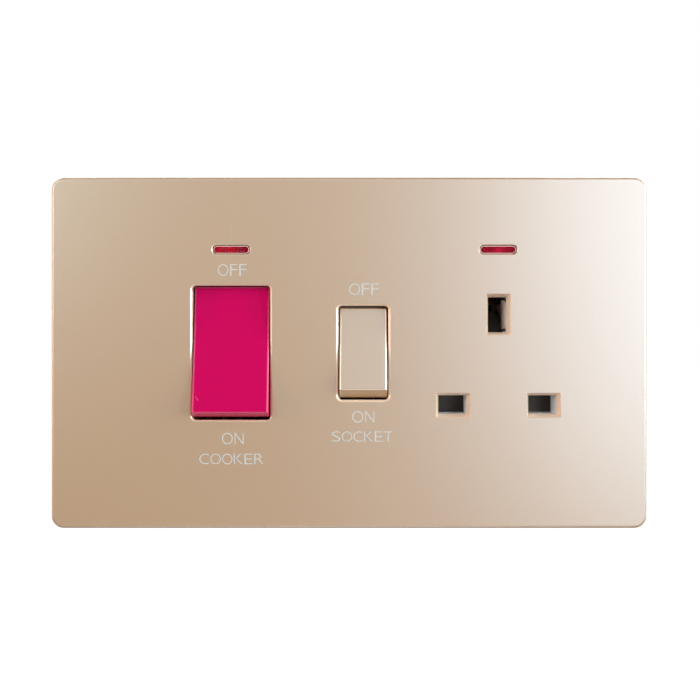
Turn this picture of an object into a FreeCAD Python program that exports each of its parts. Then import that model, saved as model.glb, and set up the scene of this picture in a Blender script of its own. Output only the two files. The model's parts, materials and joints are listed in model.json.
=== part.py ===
import FreeCAD, Part
import math
import os

# Cooker control unit
# A double-pole cooker switch and a switched socket outlet behind one clip-on plate.
# Millimetres. X runs right, Y runs back into the wall, Z runs up.
# The wall plane is y = 0 and the plate is centred on x = z = 0.

# Front plate
PLATE_W = 146.0
PLATE_H = 86.0
PLATE_FRONT = -9.0
PLATE_WALL = 2.0
PLATE_SKIRT = 1.8
PLATE_CORNER = 3.0
PLATE_EDGE = 0.7
PLATE_BACK = PLATE_FRONT + PLATE_WALL
CATCH_L = 12.0
CATCH_H = 0.9
CATCH_X = 44.0
PRY_HALF = 5.0

# Columns and rows of the front
COOKER_X = -28.9
SWITCH_X = 3.5
SOCKET_X = 36.6
NEON_Z = 25.3

# Mounting frame
FRAME_GAP = 0.3
FRAME_WALL = 2.0
FRAME_RIM = 2.0
FRAME_W = PLATE_W - 2 * (PLATE_SKIRT + FRAME_GAP)
FRAME_H = PLATE_H - 2 * (PLATE_SKIRT + FRAME_GAP)
FRAME_FRONT = PLATE_BACK
FRAME_BACK = FRAME_FRONT + FRAME_WALL
STIFFENER_SHARE = 0.15
STIFFENER_BACK = -2.0
FIX_PITCH = 120.6
FIX_SLOT_R = 2.05
FIX_SLOT_L = 5.6
LUG_FRONT = -4.4
LUG_R = 5.8
LUG_RECESS_R = 4.6

# Rockers, measured from the pivot with the face towards the room
PIVOT_Y = -3.0
FACE_DEPTH = PIVOT_Y - PLATE_FRONT
TILT = 9.0
PIN_R = 1.5
PIN_L = 2.3
PIN_CLEAR = 0.05
CAP_WALL = 1.4
CAP_ROUND = 0.5
ROCKER_GAP = 0.3

COOKER_W = 18.6
COOKER_FACE = 15.55
COOKER_CHIN = 16.3
COOKER_CHIN_DEPTH = 3.4
COOKER_SKIRT = 16.3
COOKER_OPEN_H = 2 * COOKER_CHIN + 0.4
COOKER_WELL_H = 2 * COOKER_SKIRT + 1.8
COOKER_LIP = 0.4
POLE_OFFSET = 6.0

SWITCH_W = 11.7
SWITCH_FACE = 10.0
SWITCH_CHIN = 11.6
SWITCH_CHIN_DEPTH = 3.1
SWITCH_SKIRT = 11.2
SWITCH_OPEN_H = 2 * SWITCH_CHIN - 0.1
SWITCH_WELL_H = 2 * SWITCH_SKIRT + 2.4
SWITCH_LIP = 0.5

# Legs, plungers and springs inside the rockers
LEG = 5.6
LEG_END = 6.2
LEG_BORE_R = 1.9
LEG_BORE_TOP = -3.6
PLUNGER_R = 1.8
PLUNGER_BACK = 2.6
PLUNGER_TIP = 10.0
SPRING_R = 1.3
SPRING_WIRE = 0.22
SPRING_TURNS = 5
SPRING_STEPS = 8

# Contact arms
ARM_AXIS_Y = 9.2
ARM_FRONT = 1.9
ARM_BACK = 0.5
ARM_W = 5.0
SADDLE_HALF = 2.0
RIDGE_R = 0.6
SADDLE_R = 0.7
ARM_TAIL = 6.0
COOKER_ARM = 13.5
COOKER_SWING = 7.5
COOKER_BUTTON_R = 1.6
SWITCH_ARM = 10.0
SWITCH_SWING = 10.0
SWITCH_BUTTON_R = 1.4
BUTTON_T = 0.8
STRIP_FRONT = 12.1
STRIP_T = 1.5
LINK_T = 1.2
STRIP_W = 5.0

# Rear body
BODY_HALF_W = 54.0
BODY_HALF_H = 31.0
BODY_WALL_X = 1.6
BODY_WALL_Z = 2.0
BODY_FLOOR = 19.0
BODY_BACK = 21.5
POST_X = 48.6
POST_Z = 26.1
POST_R = 4.0
CASE_SCREW_R = 1.4
CASE_HEAD_R = 2.5
CASE_HEAD_Y = 8.0
CASE_SCREW_TIP = -3.9

# Cable terminals
TERM_W = 10.5
TERM_FRONT = 8.0
TERM_IN = 16.5
TERM_OUT = 28.0
TERM_BORE_R = 3.2
TERM_BORE_Y = 12.9
NEUTRAL_TERM_X = -37.6
LINE_TERM_X = -20.2
TERM_SCREW_R = 2.4
TERM_HEAD_R = 3.2
TERM_HEAD_Y = 19.6
TERM_HEAD_H = 2.7
TERM_SCREW_TIP = 16.7
THREAD_CLEAR = 0.1

EARTH_W = 8.5
EARTH_FRONT = 10.0
EARTH_IN = 17.5
EARTH_BORE_R = 2.25
EARTH_BORE_Y = 13.9
EARTH_SUPPLY_X = 39.0
EARTH_LOAD_X = -4.95
EARTH_SCREW_R = 1.9
EARTH_SCREW_TIP = 16.8
EARTH_HEAD_R = 2.9
ENTRY_R = 4.0
ENTRY_EARTH_R = 3.2

# Socket outlet, to the 13 A pin pattern
PIN_ROW_Z = -12.83
PIN_HALF_PITCH = 11.115
EARTH_PIN_Z = 9.4
LIVE_SLOT_W = 6.9
LIVE_SLOT_H = 4.6
EARTH_SLOT_W = 4.6
EARTH_SLOT_H = 8.75
SLOT_BEVEL = 0.72
TUNNEL_MARGIN = 0.15
BLOCK_LEFT = 16.8
BLOCK_RIGHT = 15.6
BLOCK_TOP = 16.6
BLOCK_BOTTOM = -22.0
BLOCK_BACK = 0.7
RETAINER_FRONT = BLOCK_BACK + 2.6
RETAINER_T = 1.4
RETAINER_WINDOW_HALF = 4.0
RETAINER_WINDOW_LOW = -2.5

# Shutter
SHUTTER_FRONT = BLOCK_BACK + 0.2
SHUTTER_BACK = RETAINER_FRONT - 0.2
SHUTTER_HALF = 15.0
SHUTTER_TOP = -10.1
SHUTTER_BOTTOM = -15.6
STEM_HALF = 3.4
WINDOW_HALF = 1.7
WINDOW_LOW = -9.0
WINDOW_HIGH = 3.6
RAMP_HALF = 2.2
RAMP_FOOT = 5.35
RAMP_DEPTH = SHUTTER_BACK + 2.5
RAMP_TOP = 10.4
SHUTTER_SPRING_R = 0.75
SHUTTER_WIRE = 0.2
SHUTTER_TURNS = 7
STOP_LOW = -8.6
STOP_HIGH = -7.2

# Socket contacts
JAW_FRONT = RETAINER_FRONT + RETAINER_T + 0.5
JAW_BACK = 10.6
JAW_T = 0.8
JAW_GAP = 3.6
JAW_W = 6.0
JAW_FLARE = 0.9
EARTH_JAW_FRONT = JAW_FRONT + 1.2
EARTH_JAW_BACK = 15.2
EARTH_JAW_HALF = 3.0
EARTH_GUIDE_FRONT = -4.6
EARTH_GUIDE_LOW = 5.8
EARTH_GUIDE_HIGH = 13.2
EARTH_GUIDE_CLEAR = 0.5

# Links
LINK_HIGH = 25.0
LINK_LOW = 21.0
LINE_RAIL_LOW = 15.5
LINE_RAIL_HIGH = 19.0
LOAD_RAIL_LOW = -19.6
LOAD_RAIL_HIGH = -16.6
RISER_HALF = 3.0
EARTH_BAR_T = 1.0
EARTH_BAR_LOW = 2.4
EARTH_BAR_HIGH = 7.0
EARTH_DROP_W = 5.0

# Neon indicators
LENS_W = 8.9
LENS_H = 2.0
LENS_GAP = 0.15
LENS_FRONT = -8.7
LENS_FLANGE_W = 12.0
LENS_FLANGE_H = 5.2
LENS_FLANGE_T = 1.1
LENS_BACK = -1.8
LAMP_R = 2.1
LAMP_L = 9.0
LAMP_Y = 0.9
LEAD_R = 0.45
RESISTOR_R = 1.2
RESISTOR_L = 6.5
COOKER_LEAD_X = LINE_TERM_X + TERM_W / 2 + 1.7
COOKER_LEAD_Y = 10.0
COOKER_LEAD_LOW = -22.0
RESISTOR_FRONT = 2.2
SOCKET_LEAD_X = SOCKET_X - LAMP_L / 2 - 2.0

# Earth strap
STRAP_T = 0.6
STRAP_LOW = 17.6
STRAP_HIGH = 20.6
STRAP_HALF = 2.0
STRAP_FOLD_X = 42.0


def vec(x, y, z):
    return FreeCAD.Vector(x, y, z)


def block(x0, x1, y0, y1, z0, z1):
    return Part.makeBox(x1 - x0, y1 - y0, z1 - z0, vec(x0, y0, z0))


def rod_x(r, x0, x1, y, z):
    return Part.makeCylinder(r, x1 - x0, vec(x0, y, z), vec(1, 0, 0))


def rod_y(r, y0, y1, x, z):
    return Part.makeCylinder(r, y1 - y0, vec(x, y0, z), vec(0, 1, 0))


def rod_z(r, z0, z1, x, y):
    return Part.makeCylinder(r, z1 - z0, vec(x, y, z0), vec(0, 0, 1))


def polygon_y(radius, sides, y0, y1, x, z):
    """Small round piece as a prism of flat sides, its corners on the radius."""
    corners = []
    for i in range(sides + 1):
        angle = 2 * math.pi * (i + 0.5) / sides
        corners.append(vec(x + radius * math.cos(angle), y0, z + radius * math.sin(angle)))
    return Part.Face(Part.makePolygon(corners)).extrude(vec(0, y1 - y0, 0))


def nose_y(radius, tip_radius, sides, y0, y1):
    """Tapered end that carries on a prism of flat sides."""
    rings = []
    for size, y in ((radius, y0), (tip_radius, y1)):
        corners = []
        for i in range(sides + 1):
            angle = 2 * math.pi * (i + 0.5) / sides
            corners.append(vec(size * math.cos(angle), y, size * math.sin(angle)))
        rings.append(Part.makePolygon(corners))
    return Part.makeLoft(rings, True, True)


def edges_along_y(shape):
    found = []
    for edge in shape.Edges:
        box = edge.BoundBox
        if box.XLength < 1e-6 and box.ZLength < 1e-6:
            found.append(edge)
    return found


def edges_at_y(shape, y, half_w, half_h, x=0.0, z=0.0):
    """Edges that lie in the plane y, inside a window around x, z."""
    found = []
    for edge in shape.Edges:
        box = edge.BoundBox
        flat = abs(box.YMin - y) < 1e-6 and abs(box.YMax - y) < 1e-6
        inside = abs(box.Center.x - x) < half_w and abs(box.Center.z - z) < half_h
        if flat and inside:
            found.append(edge)
    return found


def rounded_block(x, z, width, height, radius, y0, y1):
    body = block(x - width / 2, x + width / 2, y0, y1, z - height / 2, z + height / 2)
    return body.makeFillet(radius, edges_along_y(body))


def rectangle_at(x, z, width, height, y):
    corners = []
    for sx, sz in ((-1, -1), (1, -1), (1, 1), (-1, 1), (-1, -1)):
        corners.append(vec(x + sx * width / 2, y, z + sz * height / 2))
    return Part.makePolygon(corners)


def tapered_slot(x, z, width, height):
    """Pin slot of the plate, wider at the front by the bevel."""
    front = rectangle_at(x, z, width + 2 * SLOT_BEVEL, height + 2 * SLOT_BEVEL, PLATE_FRONT)
    back = rectangle_at(x, z, width, height, PLATE_BACK)
    return Part.makeLoft([front, back], True, True)


def prism_x(profile, x0, x1):
    """Solid with a (y, z) outline, drawn from x0 to x1."""
    corners = [vec(x0, y, z) for y, z in profile]
    corners.append(corners[0])
    face = Part.Face(Part.makePolygon(corners))
    return face.extrude(vec(x1 - x0, 0, 0))


def join(pieces):
    body = pieces[0]
    for piece in pieces[1:]:
        body = body.fuse(piece)
    return body.removeSplitter()


def cut_all(body, tools):
    for tool in tools:
        body = body.cut(tool)
    return body


def spring_z(radius, wire, turns, z0, z1):
    """Open coil around the Z axis between z0 and z1, of short straight steps."""
    low = z0 + wire
    high = z1 - wire
    steps = SPRING_STEPS * turns
    path = []
    for i in range(steps + 1):
        angle = 2 * math.pi * i / SPRING_STEPS
        rise = (high - low) * i / steps
        path.append(vec(radius * math.cos(angle), radius * math.sin(angle), low + rise))
    return wire_along(path, wire, 4)


def wire_along(path, radius, sides):
    """Wire of flat sides swept along straight steps with mitred corners."""
    along = (path[1] - path[0]).normalize()
    across = vec(0, 0, 1) if abs(along.z) < 0.9 else vec(1, 0, 0)
    side = along.cross(across).normalize()
    up = side.cross(along).normalize()
    ring = []
    for i in range(sides):
        angle = 2 * math.pi * i / sides
        ring.append(path[0] + side * radius * math.cos(angle) + up * radius * math.sin(angle))
    ring.append(ring[0])
    return Part.makePolygon(path).makePipeShell([Part.makePolygon(ring)], True, False, 1)


def lead(points):
    return wire_along(points, LEAD_R, 8)


def save(name, shape):
    print(name, len(shape.Solids), round(shape.Volume, 1), shape.isValid())
    shape.exportStep(os.path.join("parts", name + ".step"))


# Front cover

def pin_slots():
    slots = []
    for side in (-1, 1):
        x = SOCKET_X + side * PIN_HALF_PITCH
        slots.append(tapered_slot(x, PIN_ROW_Z, LIVE_SLOT_W, LIVE_SLOT_H))
    slots.append(tapered_slot(SOCKET_X, EARTH_PIN_Z, EARTH_SLOT_W, EARTH_SLOT_H))
    return slots


def cover_catch(x, side):
    """Snap ridge inside the top or bottom skirt."""
    outer = PLATE_H / 2 - PLATE_SKIRT / 2
    inner = PLATE_H / 2 - PLATE_SKIRT - CATCH_H
    root = PLATE_H / 2 - PLATE_SKIRT
    profile = [(-3.6, outer), (-3.6, root), (-2.8, inner), (-2.2, inner), (-1.8, root), (-1.8, outer)]
    return prism_x([(y, side * z) for y, z in profile], x - CATCH_L / 2, x + CATCH_L / 2)


def front_cover():
    body = rounded_block(0, 0, PLATE_W, PLATE_H, PLATE_CORNER, PLATE_FRONT, 0)
    body = body.makeFillet(PLATE_EDGE, edges_at_y(body, PLATE_FRONT, PLATE_W, PLATE_H))
    inner_w = PLATE_W - 2 * PLATE_SKIRT
    inner_h = PLATE_H - 2 * PLATE_SKIRT
    body = body.cut(block(-inner_w / 2, inner_w / 2, PLATE_BACK, 1, -inner_h / 2, inner_h / 2))
    wide = COOKER_W + 2 * ROCKER_GAP
    body = body.cut(rounded_block(COOKER_X, 0, wide, COOKER_OPEN_H, 1.0, PLATE_FRONT - 1, PLATE_BACK + 1))
    body = body.makeChamfer(COOKER_LIP, edges_at_y(body, PLATE_FRONT, wide, COOKER_OPEN_H, COOKER_X))
    wide = SWITCH_W + 2 * ROCKER_GAP
    body = body.cut(rounded_block(SWITCH_X, 0, wide, SWITCH_OPEN_H, 1.0, PLATE_FRONT - 1, PLATE_BACK + 1))
    body = body.makeChamfer(SWITCH_LIP, edges_at_y(body, PLATE_FRONT, wide, SWITCH_OPEN_H, SWITCH_X))
    for x in (COOKER_X, SOCKET_X):
        wide = LENS_W + 2 * LENS_GAP
        high = LENS_H + 2 * LENS_GAP
        body = body.cut(rounded_block(x, NEON_Z, wide, high, 1.0, PLATE_FRONT - 1, PLATE_BACK + 1))
        body = body.makeChamfer(0.2, edges_at_y(body, PLATE_FRONT, wide, high, x, NEON_Z))
    body = cut_all(body, pin_slots())
    pry = block(-PRY_HALF, PRY_HALF, -1.2, 1, -PLATE_H / 2 - 1, -PLATE_H / 2 + PLATE_SKIRT + 0.1)
    body = body.cut(pry)
    catches = [cover_catch(x, side) for x in (-CATCH_X, CATCH_X) for side in (-1, 1)]
    return join([body] + catches)


# Mounting frame

def frame_bearing(x, half_w, side):
    """Plastic bearing for one rocker pin, behind the frame's front wall."""
    near = half_w + ROCKER_GAP + 0.2
    far = near + PIN_L + 0.4
    lo, hi = sorted((x + side * near, x + side * far))
    ear = block(lo, hi, FRAME_BACK - 0.5, -0.2, -3.2, 3.2)
    return ear.cut(rod_x(PIN_R + PIN_CLEAR, lo - 1, hi + 1, PIVOT_Y, 0))


def fixing_cuts(side):
    x = side * FIX_PITCH / 2
    recess = rod_y(LUG_RECESS_R, FRAME_FRONT - 1, LUG_FRONT, x, 0)
    half = FIX_SLOT_L / 2 - FIX_SLOT_R
    middle = block(x - half, x + half, LUG_FRONT - 1, 1, -FIX_SLOT_R, FIX_SLOT_R)
    ends = [rod_y(FIX_SLOT_R, LUG_FRONT - 1, 1, x + end * half, 0) for end in (-1, 1)]
    return [recess, middle] + ends


def socket_block():
    left = SOCKET_X - BLOCK_LEFT
    right = SOCKET_X + BLOCK_RIGHT
    body = block(left, right, FRAME_FRONT, BLOCK_BACK, BLOCK_BOTTOM, BLOCK_TOP)
    rails = [
        block(left, left + 1.4, BLOCK_BACK, RETAINER_FRONT, BLOCK_BOTTOM, BLOCK_TOP),
        block(left, right, BLOCK_BACK, RETAINER_FRONT, BLOCK_TOP - 1.6, BLOCK_TOP),
        block(left, right, BLOCK_BACK, RETAINER_FRONT, BLOCK_BOTTOM, BLOCK_BOTTOM + 0.8),
        block(SOCKET_X - 1.4, SOCKET_X + 1.4, BLOCK_BACK, SHUTTER_BACK, STOP_LOW, STOP_HIGH),
    ]
    return join([body] + rails)


def tunnels(y0, y1, margin):
    cuts = []
    for side in (-1, 1):
        x = SOCKET_X + side * PIN_HALF_PITCH
        half_w = LIVE_SLOT_W / 2 + margin
        half_h = LIVE_SLOT_H / 2 + margin
        cuts.append(block(x - half_w, x + half_w, y0, y1, PIN_ROW_Z - half_h, PIN_ROW_Z + half_h))
    half_w = EARTH_SLOT_W / 2 + margin
    half_h = EARTH_SLOT_H / 2 + margin
    low = EARTH_PIN_Z - half_h
    high = EARTH_PIN_Z + half_h
    cuts.append(block(SOCKET_X - half_w, SOCKET_X + half_w, y0, y1, low, high))
    return cuts


def guide_pocket():
    """Room beside the earth tunnel for the earth contact's guide."""
    clear = EARTH_GUIDE_CLEAR
    left = SOCKET_X + EARTH_SLOT_W / 2
    right = SOCKET_X + JAW_GAP / 2 + JAW_FLARE + JAW_T + clear
    front = EARTH_GUIDE_FRONT - clear
    return block(left, right, front, BLOCK_BACK + 0.1, EARTH_GUIDE_LOW - clear, EARTH_GUIDE_HIGH + clear)


def opening(x, z, width, height):
    """Plain opening through the frame's front wall."""
    half_w = width / 2
    half_h = height / 2
    return block(x - half_w, x + half_w, FRAME_FRONT - 1, FRAME_BACK + 1, z - half_h, z + half_h)


def stiffener(side, width):
    """Rib along the frame's front wall, halfway between the rim and the rear body."""
    half = width / 2 + 0.5
    rim = FRAME_H / 2 - FRAME_RIM
    room = rim - BODY_HALF_H
    z = side * (rim + BODY_HALF_H) / 2
    thick = room * STIFFENER_SHARE / 2
    return block(-half, half, FRAME_BACK - 0.5, STIFFENER_BACK, z - thick, z + thick)


def frame_cuts(side):
    """Fixing slot, screw holes and catch windows of one half of the frame."""
    cuts = fixing_cuts(side)
    hole = CASE_SCREW_R + THREAD_CLEAR
    for x in (-POST_X, POST_X):
        cuts.append(polygon_y(hole, 12, CASE_SCREW_TIP - 0.4, 1, x, side * POST_Z))
    z0, z1 = sorted((side * (FRAME_H / 2 + 1), side * (FRAME_H / 2 - CATCH_H)))
    half = CATCH_L / 2 + 0.5
    for x in (-CATCH_X, CATCH_X):
        cuts.append(block(x - half, x + half, -3.9, -1.5, z0, z1))
    return cuts


def strap_slot():
    """Way for the earth strap out of the right fixing lug."""
    x = FIX_PITCH / 2
    half = STRAP_HALF + 0.3
    return block(x - half, x + half, FRAME_BACK, LUG_FRONT + 0.1, 3, LUG_R + 0.5)


def mounting_frame():
    body = rounded_block(0, 0, FRAME_W, FRAME_H, 2.0, FRAME_FRONT, 0)
    inner_w = FRAME_W - 2 * FRAME_RIM
    inner_h = FRAME_H - 2 * FRAME_RIM
    body = body.cut(block(-inner_w / 2, inner_w / 2, FRAME_BACK, 1, -inner_h / 2, inner_h / 2))
    added = [socket_block()]
    for side in (-1, 1):
        added.append(rod_y(LUG_R, FRAME_BACK - 0.5, 0, side * FIX_PITCH / 2, 0))
        added.append(stiffener(side, inner_w))
        for x in (-POST_X, POST_X):
            z = side * POST_Z
            added.append(block(x - 2.8, x + 2.8, FRAME_BACK - 0.5, 0, z - 2.8, z + 2.8))
    body = join([body] + added)
    cuts = tunnels(FRAME_FRONT - 1, BLOCK_BACK + 0.1, TUNNEL_MARGIN) + [guide_pocket()]
    wide = COOKER_W + 2 * ROCKER_GAP + 0.4
    cuts.append(opening(COOKER_X, 0, wide, COOKER_WELL_H))
    wide = SWITCH_W + 2 * ROCKER_GAP + 0.4
    cuts.append(opening(SWITCH_X, 0, wide, SWITCH_WELL_H))
    for x in (COOKER_X, SOCKET_X):
        cuts.append(opening(x, NEON_Z, LENS_W + 2 * LENS_GAP, LENS_H + 2 * LENS_GAP))
    for side in (-1, 1):
        cuts += frame_cuts(side)
    cuts.append(strap_slot())
    body = cut_all(body, cuts)
    bearings = []
    for side in (-1, 1):
        bearings.append(frame_bearing(COOKER_X, COOKER_W / 2, side))
        bearings.append(frame_bearing(SWITCH_X, SWITCH_W / 2, side))
    return join([body] + bearings)


# Rockers

def rocker(x, width, face, chin, chin_depth, skirt, legs):
    half = width / 2
    profile = [
        (-FACE_DEPTH, face), (-chin_depth, chin), (0, skirt),
        (0, -skirt), (-chin_depth, -chin), (-FACE_DEPTH, -face),
    ]
    shell = prism_x(profile, -half, half)
    shell = shell.makeFillet(CAP_ROUND, edges_at_y(shell, -FACE_DEPTH, width, 2 * face + 1))
    inside = face - CAP_WALL
    cavity = [
        (-FACE_DEPTH + CAP_WALL, inside), (-chin_depth, skirt - CAP_WALL), (1, skirt - CAP_WALL),
        (1, CAP_WALL - skirt), (-chin_depth, CAP_WALL - skirt), (-FACE_DEPTH + CAP_WALL, -inside),
    ]
    shell = shell.cut(prism_x(cavity, CAP_WALL - half, half - CAP_WALL))
    added = []
    for side in (-1, 1):
        lo, hi = sorted((side * (half - CAP_WALL), side * half))
        added.append(rod_x(2.7, lo, hi, 0, 0))
        lo, hi = sorted((side * (half - CAP_WALL), side * (half + PIN_L)))
        added.append(rod_x(PIN_R, lo, hi, 0, 0))
    thick = LEG / 2
    for offset in legs:
        added.append(block(offset - thick, offset + thick, 0.5 - FACE_DEPTH, LEG_END, -thick, thick))
    body = join([shell] + added)
    for offset in legs:
        body = body.cut(polygon_y(LEG_BORE_R, 16, LEG_BORE_TOP, LEG_END + 1, offset, 0))
    return seat_on_pivot(body, x)


def seat_on_pivot(shape, x):
    """Tilt a piece drawn around the pivot to the OFF position."""
    shape.rotate(vec(0, 0, 0), vec(1, 0, 0), -TILT)
    shape.translate(vec(x, PIVOT_Y, 0))
    return shape


def cooker_rocker():
    legs = (-POLE_OFFSET, POLE_OFFSET)
    sizes = (COOKER_W, COOKER_FACE, COOKER_CHIN, COOKER_CHIN_DEPTH, COOKER_SKIRT)
    return rocker(COOKER_X, *sizes, legs)


def socket_rocker():
    sizes = (SWITCH_W, SWITCH_FACE, SWITCH_CHIN, SWITCH_CHIN_DEPTH, SWITCH_SKIRT)
    return rocker(SWITCH_X, *sizes, (0,))


def plunger(x):
    shoulder = PLUNGER_TIP - PLUNGER_R
    body = polygon_y(PLUNGER_R, 16, PLUNGER_BACK, shoulder, 0, 0)
    body = join([body, nose_y(PLUNGER_R, 0.6, 16, shoulder, PLUNGER_TIP)])
    return seat_on_pivot(body, x)


def plunger_spring(x):
    front = LEG_BORE_TOP + 0.05
    coil = spring_z(SPRING_R, SPRING_WIRE, SPRING_TURNS, front, PLUNGER_BACK - 0.05)
    coil.rotate(vec(0, 0, 0), vec(1, 0, 0), -90)
    return seat_on_pivot(coil, x)


# Contact arms

def seat_on_ridge(shape, x, swing):
    shape.rotate(vec(0, 0, 0), vec(1, 0, 0), swing)
    shape.translate(vec(x, ARM_AXIS_Y, 0))
    return shape


def contact_arm(x, reach, swing):
    half = ARM_W / 2
    bar = block(-half, half, -ARM_FRONT, -ARM_BACK, -ARM_TAIL, reach)
    saddle = block(-half, half, -ARM_BACK, 0, -SADDLE_HALF, SADDLE_HALF)
    body = join([bar, saddle]).cut(rod_x(SADDLE_R, -half - 1, half + 1, 0, 0))
    return seat_on_ridge(body, x, swing)


def arm_button(x, reach, swing, radius):
    button = polygon_y(radius, 16, -ARM_BACK, BUTTON_T - ARM_BACK, 0, reach - radius - 0.2)
    return seat_on_ridge(button, x, swing)


def landing_z(reach, swing, radius):
    """Height at which an arm's button meets its fixed contact."""
    return (reach - radius - 0.2) * math.cos(math.radians(swing))


def ridge(x):
    """Brass ridge the arm rocks on, with its web down to the strip."""
    web = block(x - ARM_W / 2, x + ARM_W / 2, ARM_AXIS_Y, STRIP_FRONT + 0.5, -RIDGE_R, RIDGE_R)
    nose = rod_x(RIDGE_R, x - ARM_W / 2, x + ARM_W / 2, ARM_AXIS_Y, 0)
    return [web, nose]


# Cable terminals

def clamp_block(x, width, front, inner, side, bore_r, bore_y, screw_r):
    lo, hi = sorted((side * inner, side * TERM_OUT))
    body = block(x - width / 2, x + width / 2, front, BODY_FLOOR, lo, hi)
    middle = side * (inner + TERM_OUT) / 2
    body = body.cut(rod_z(bore_r, lo - 1, hi + 1, x, bore_y))
    return body.cut(polygon_y(screw_r + THREAD_CLEAR, 12, bore_y, BODY_FLOOR + 1, x, middle))


def supply_terminal(x, pole_x):
    body = clamp_block(x, TERM_W, TERM_FRONT, TERM_IN, 1, TERM_BORE_R, TERM_BORE_Y, TERM_SCREW_R)
    low = landing_z(COOKER_ARM, COOKER_SWING, COOKER_BUTTON_R) - COOKER_BUTTON_R - 0.5
    half = STRIP_W / 2
    tongue = block(pole_x - half, pole_x + half, STRIP_FRONT, STRIP_FRONT + STRIP_T, low, TERM_IN + 0.5)
    tongue = tongue.cut(rod_z(TERM_BORE_R, TERM_IN - 1, TERM_OUT, x, TERM_BORE_Y))
    return join([body, tongue])


def load_terminal(x, pole_x):
    body = clamp_block(x, TERM_W, TERM_FRONT, TERM_IN, -1, TERM_BORE_R, TERM_BORE_Y, TERM_SCREW_R)
    half = STRIP_W / 2
    back = STRIP_FRONT + STRIP_T
    strip = block(pole_x - half, pole_x + half, STRIP_FRONT, back, -TERM_IN, 2.5 * RIDGE_R)
    return join([body, strip] + ridge(pole_x))


def earth_terminal(x, side):
    bore = (EARTH_BORE_R, EARTH_BORE_Y)
    return clamp_block(x, EARTH_W, EARTH_FRONT, EARTH_IN, side, *bore, EARTH_SCREW_R)


def clamp_screw(x, z, shank_r, head_r, tip):
    shank = polygon_y(shank_r, 12, tip, TERM_HEAD_Y + 0.2, x, z)
    head = polygon_y(head_r, 24, TERM_HEAD_Y, TERM_HEAD_Y + TERM_HEAD_H, x, z)
    top = TERM_HEAD_Y + TERM_HEAD_H
    slot = block(x - head_r - 1, x + head_r + 1, top - 1.1, top + 1, z - 0.45, z + 0.45)
    return join([shank, head]).cut(slot)


def terminal_screws():
    screws = []
    for x in (NEUTRAL_TERM_X, LINE_TERM_X):
        for side in (-1, 1):
            z = side * (TERM_IN + TERM_OUT) / 2
            screws.append(clamp_screw(x, z, TERM_SCREW_R, TERM_HEAD_R, TERM_SCREW_TIP))
    return Part.makeCompound(screws)


def earth_terminal_screws():
    middle = (EARTH_IN + TERM_OUT) / 2
    supply = clamp_screw(EARTH_SUPPLY_X, middle, EARTH_SCREW_R, EARTH_HEAD_R, EARTH_SCREW_TIP)
    load = clamp_screw(EARTH_LOAD_X, -middle, EARTH_SCREW_R, EARTH_HEAD_R, EARTH_SCREW_TIP)
    return Part.makeCompound([supply, load])


def fixed_buttons():
    z = landing_z(COOKER_ARM, COOKER_SWING, COOKER_BUTTON_R)
    buttons = []
    for side in (-1, 1):
        x = COOKER_X + side * POLE_OFFSET
        buttons.append(polygon_y(COOKER_BUTTON_R, 16, STRIP_FRONT - 0.65, STRIP_FRONT, x, z))
    z = landing_z(SWITCH_ARM, SWITCH_SWING, SWITCH_BUTTON_R)
    buttons.append(polygon_y(SWITCH_BUTTON_R, 16, STRIP_FRONT - 0.7, STRIP_FRONT, SWITCH_X, z))
    return Part.makeCompound(buttons)


# Links between the switch and the socket

def line_link():
    """From the line supply terminal to the socket switch's fixed contact."""
    back = STRIP_FRONT + LINK_T
    start = LINE_TERM_X + TERM_W / 2
    half = STRIP_W / 2
    rail = block(start, SWITCH_X + half, STRIP_FRONT, back, LINE_RAIL_LOW, LINE_RAIL_HIGH)
    low = landing_z(SWITCH_ARM, SWITCH_SWING, SWITCH_BUTTON_R) - SWITCH_BUTTON_R - 0.4
    tongue = block(SWITCH_X - half, SWITCH_X + half, STRIP_FRONT, back, low, LINE_RAIL_LOW + 0.5)
    return join([rail, tongue])


def load_link():
    """Socket switch ridge and its rail to the line contact."""
    back = STRIP_FRONT + LINK_T
    half = STRIP_W / 2
    line_x = SOCKET_X + PIN_HALF_PITCH
    heel = 2.5 * RIDGE_R
    end = line_x + RISER_HALF
    top = PIN_ROW_Z + JAW_T
    strip = block(SWITCH_X - half, SWITCH_X + half, STRIP_FRONT, back, LOAD_RAIL_LOW, heel)
    rail = block(SWITCH_X - half, end, STRIP_FRONT, back, LOAD_RAIL_LOW, LOAD_RAIL_HIGH)
    riser = block(line_x - RISER_HALF, end, STRIP_FRONT, back, LOAD_RAIL_HIGH - 0.4, top)
    return join([strip, rail, riser] + ridge(SWITCH_X))


def neutral_link():
    """From the neutral supply terminal, over the line terminal, to the neutral contact."""
    neutral_x = SOCKET_X - PIN_HALF_PITCH
    tab_right = NEUTRAL_TERM_X + TERM_W / 2 - 0.5
    over = TERM_FRONT - 3.0
    rail_back = JAW_BACK + LINK_T
    fold_x = LINE_TERM_X + TERM_W / 2 + 2.95
    pieces = [
        block(tab_right - 8, tab_right, TERM_FRONT - 1, TERM_FRONT, LINK_LOW, LINK_HIGH),
        block(tab_right - 1, tab_right, over, TERM_FRONT, LINK_LOW, LINK_HIGH),
        block(tab_right - 1, fold_x + 1, over, over + 1, LINK_LOW, LINK_HIGH),
        block(fold_x, fold_x + 1, over, rail_back, LINK_LOW, LINK_HIGH),
        block(fold_x, neutral_x + 3, JAW_BACK, rail_back, LINK_LOW, LINK_HIGH),
        block(neutral_x - 3, neutral_x + 3, JAW_BACK, rail_back, -15.8, LINK_HIGH),
    ]
    return join(pieces)


# Socket contacts

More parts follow.
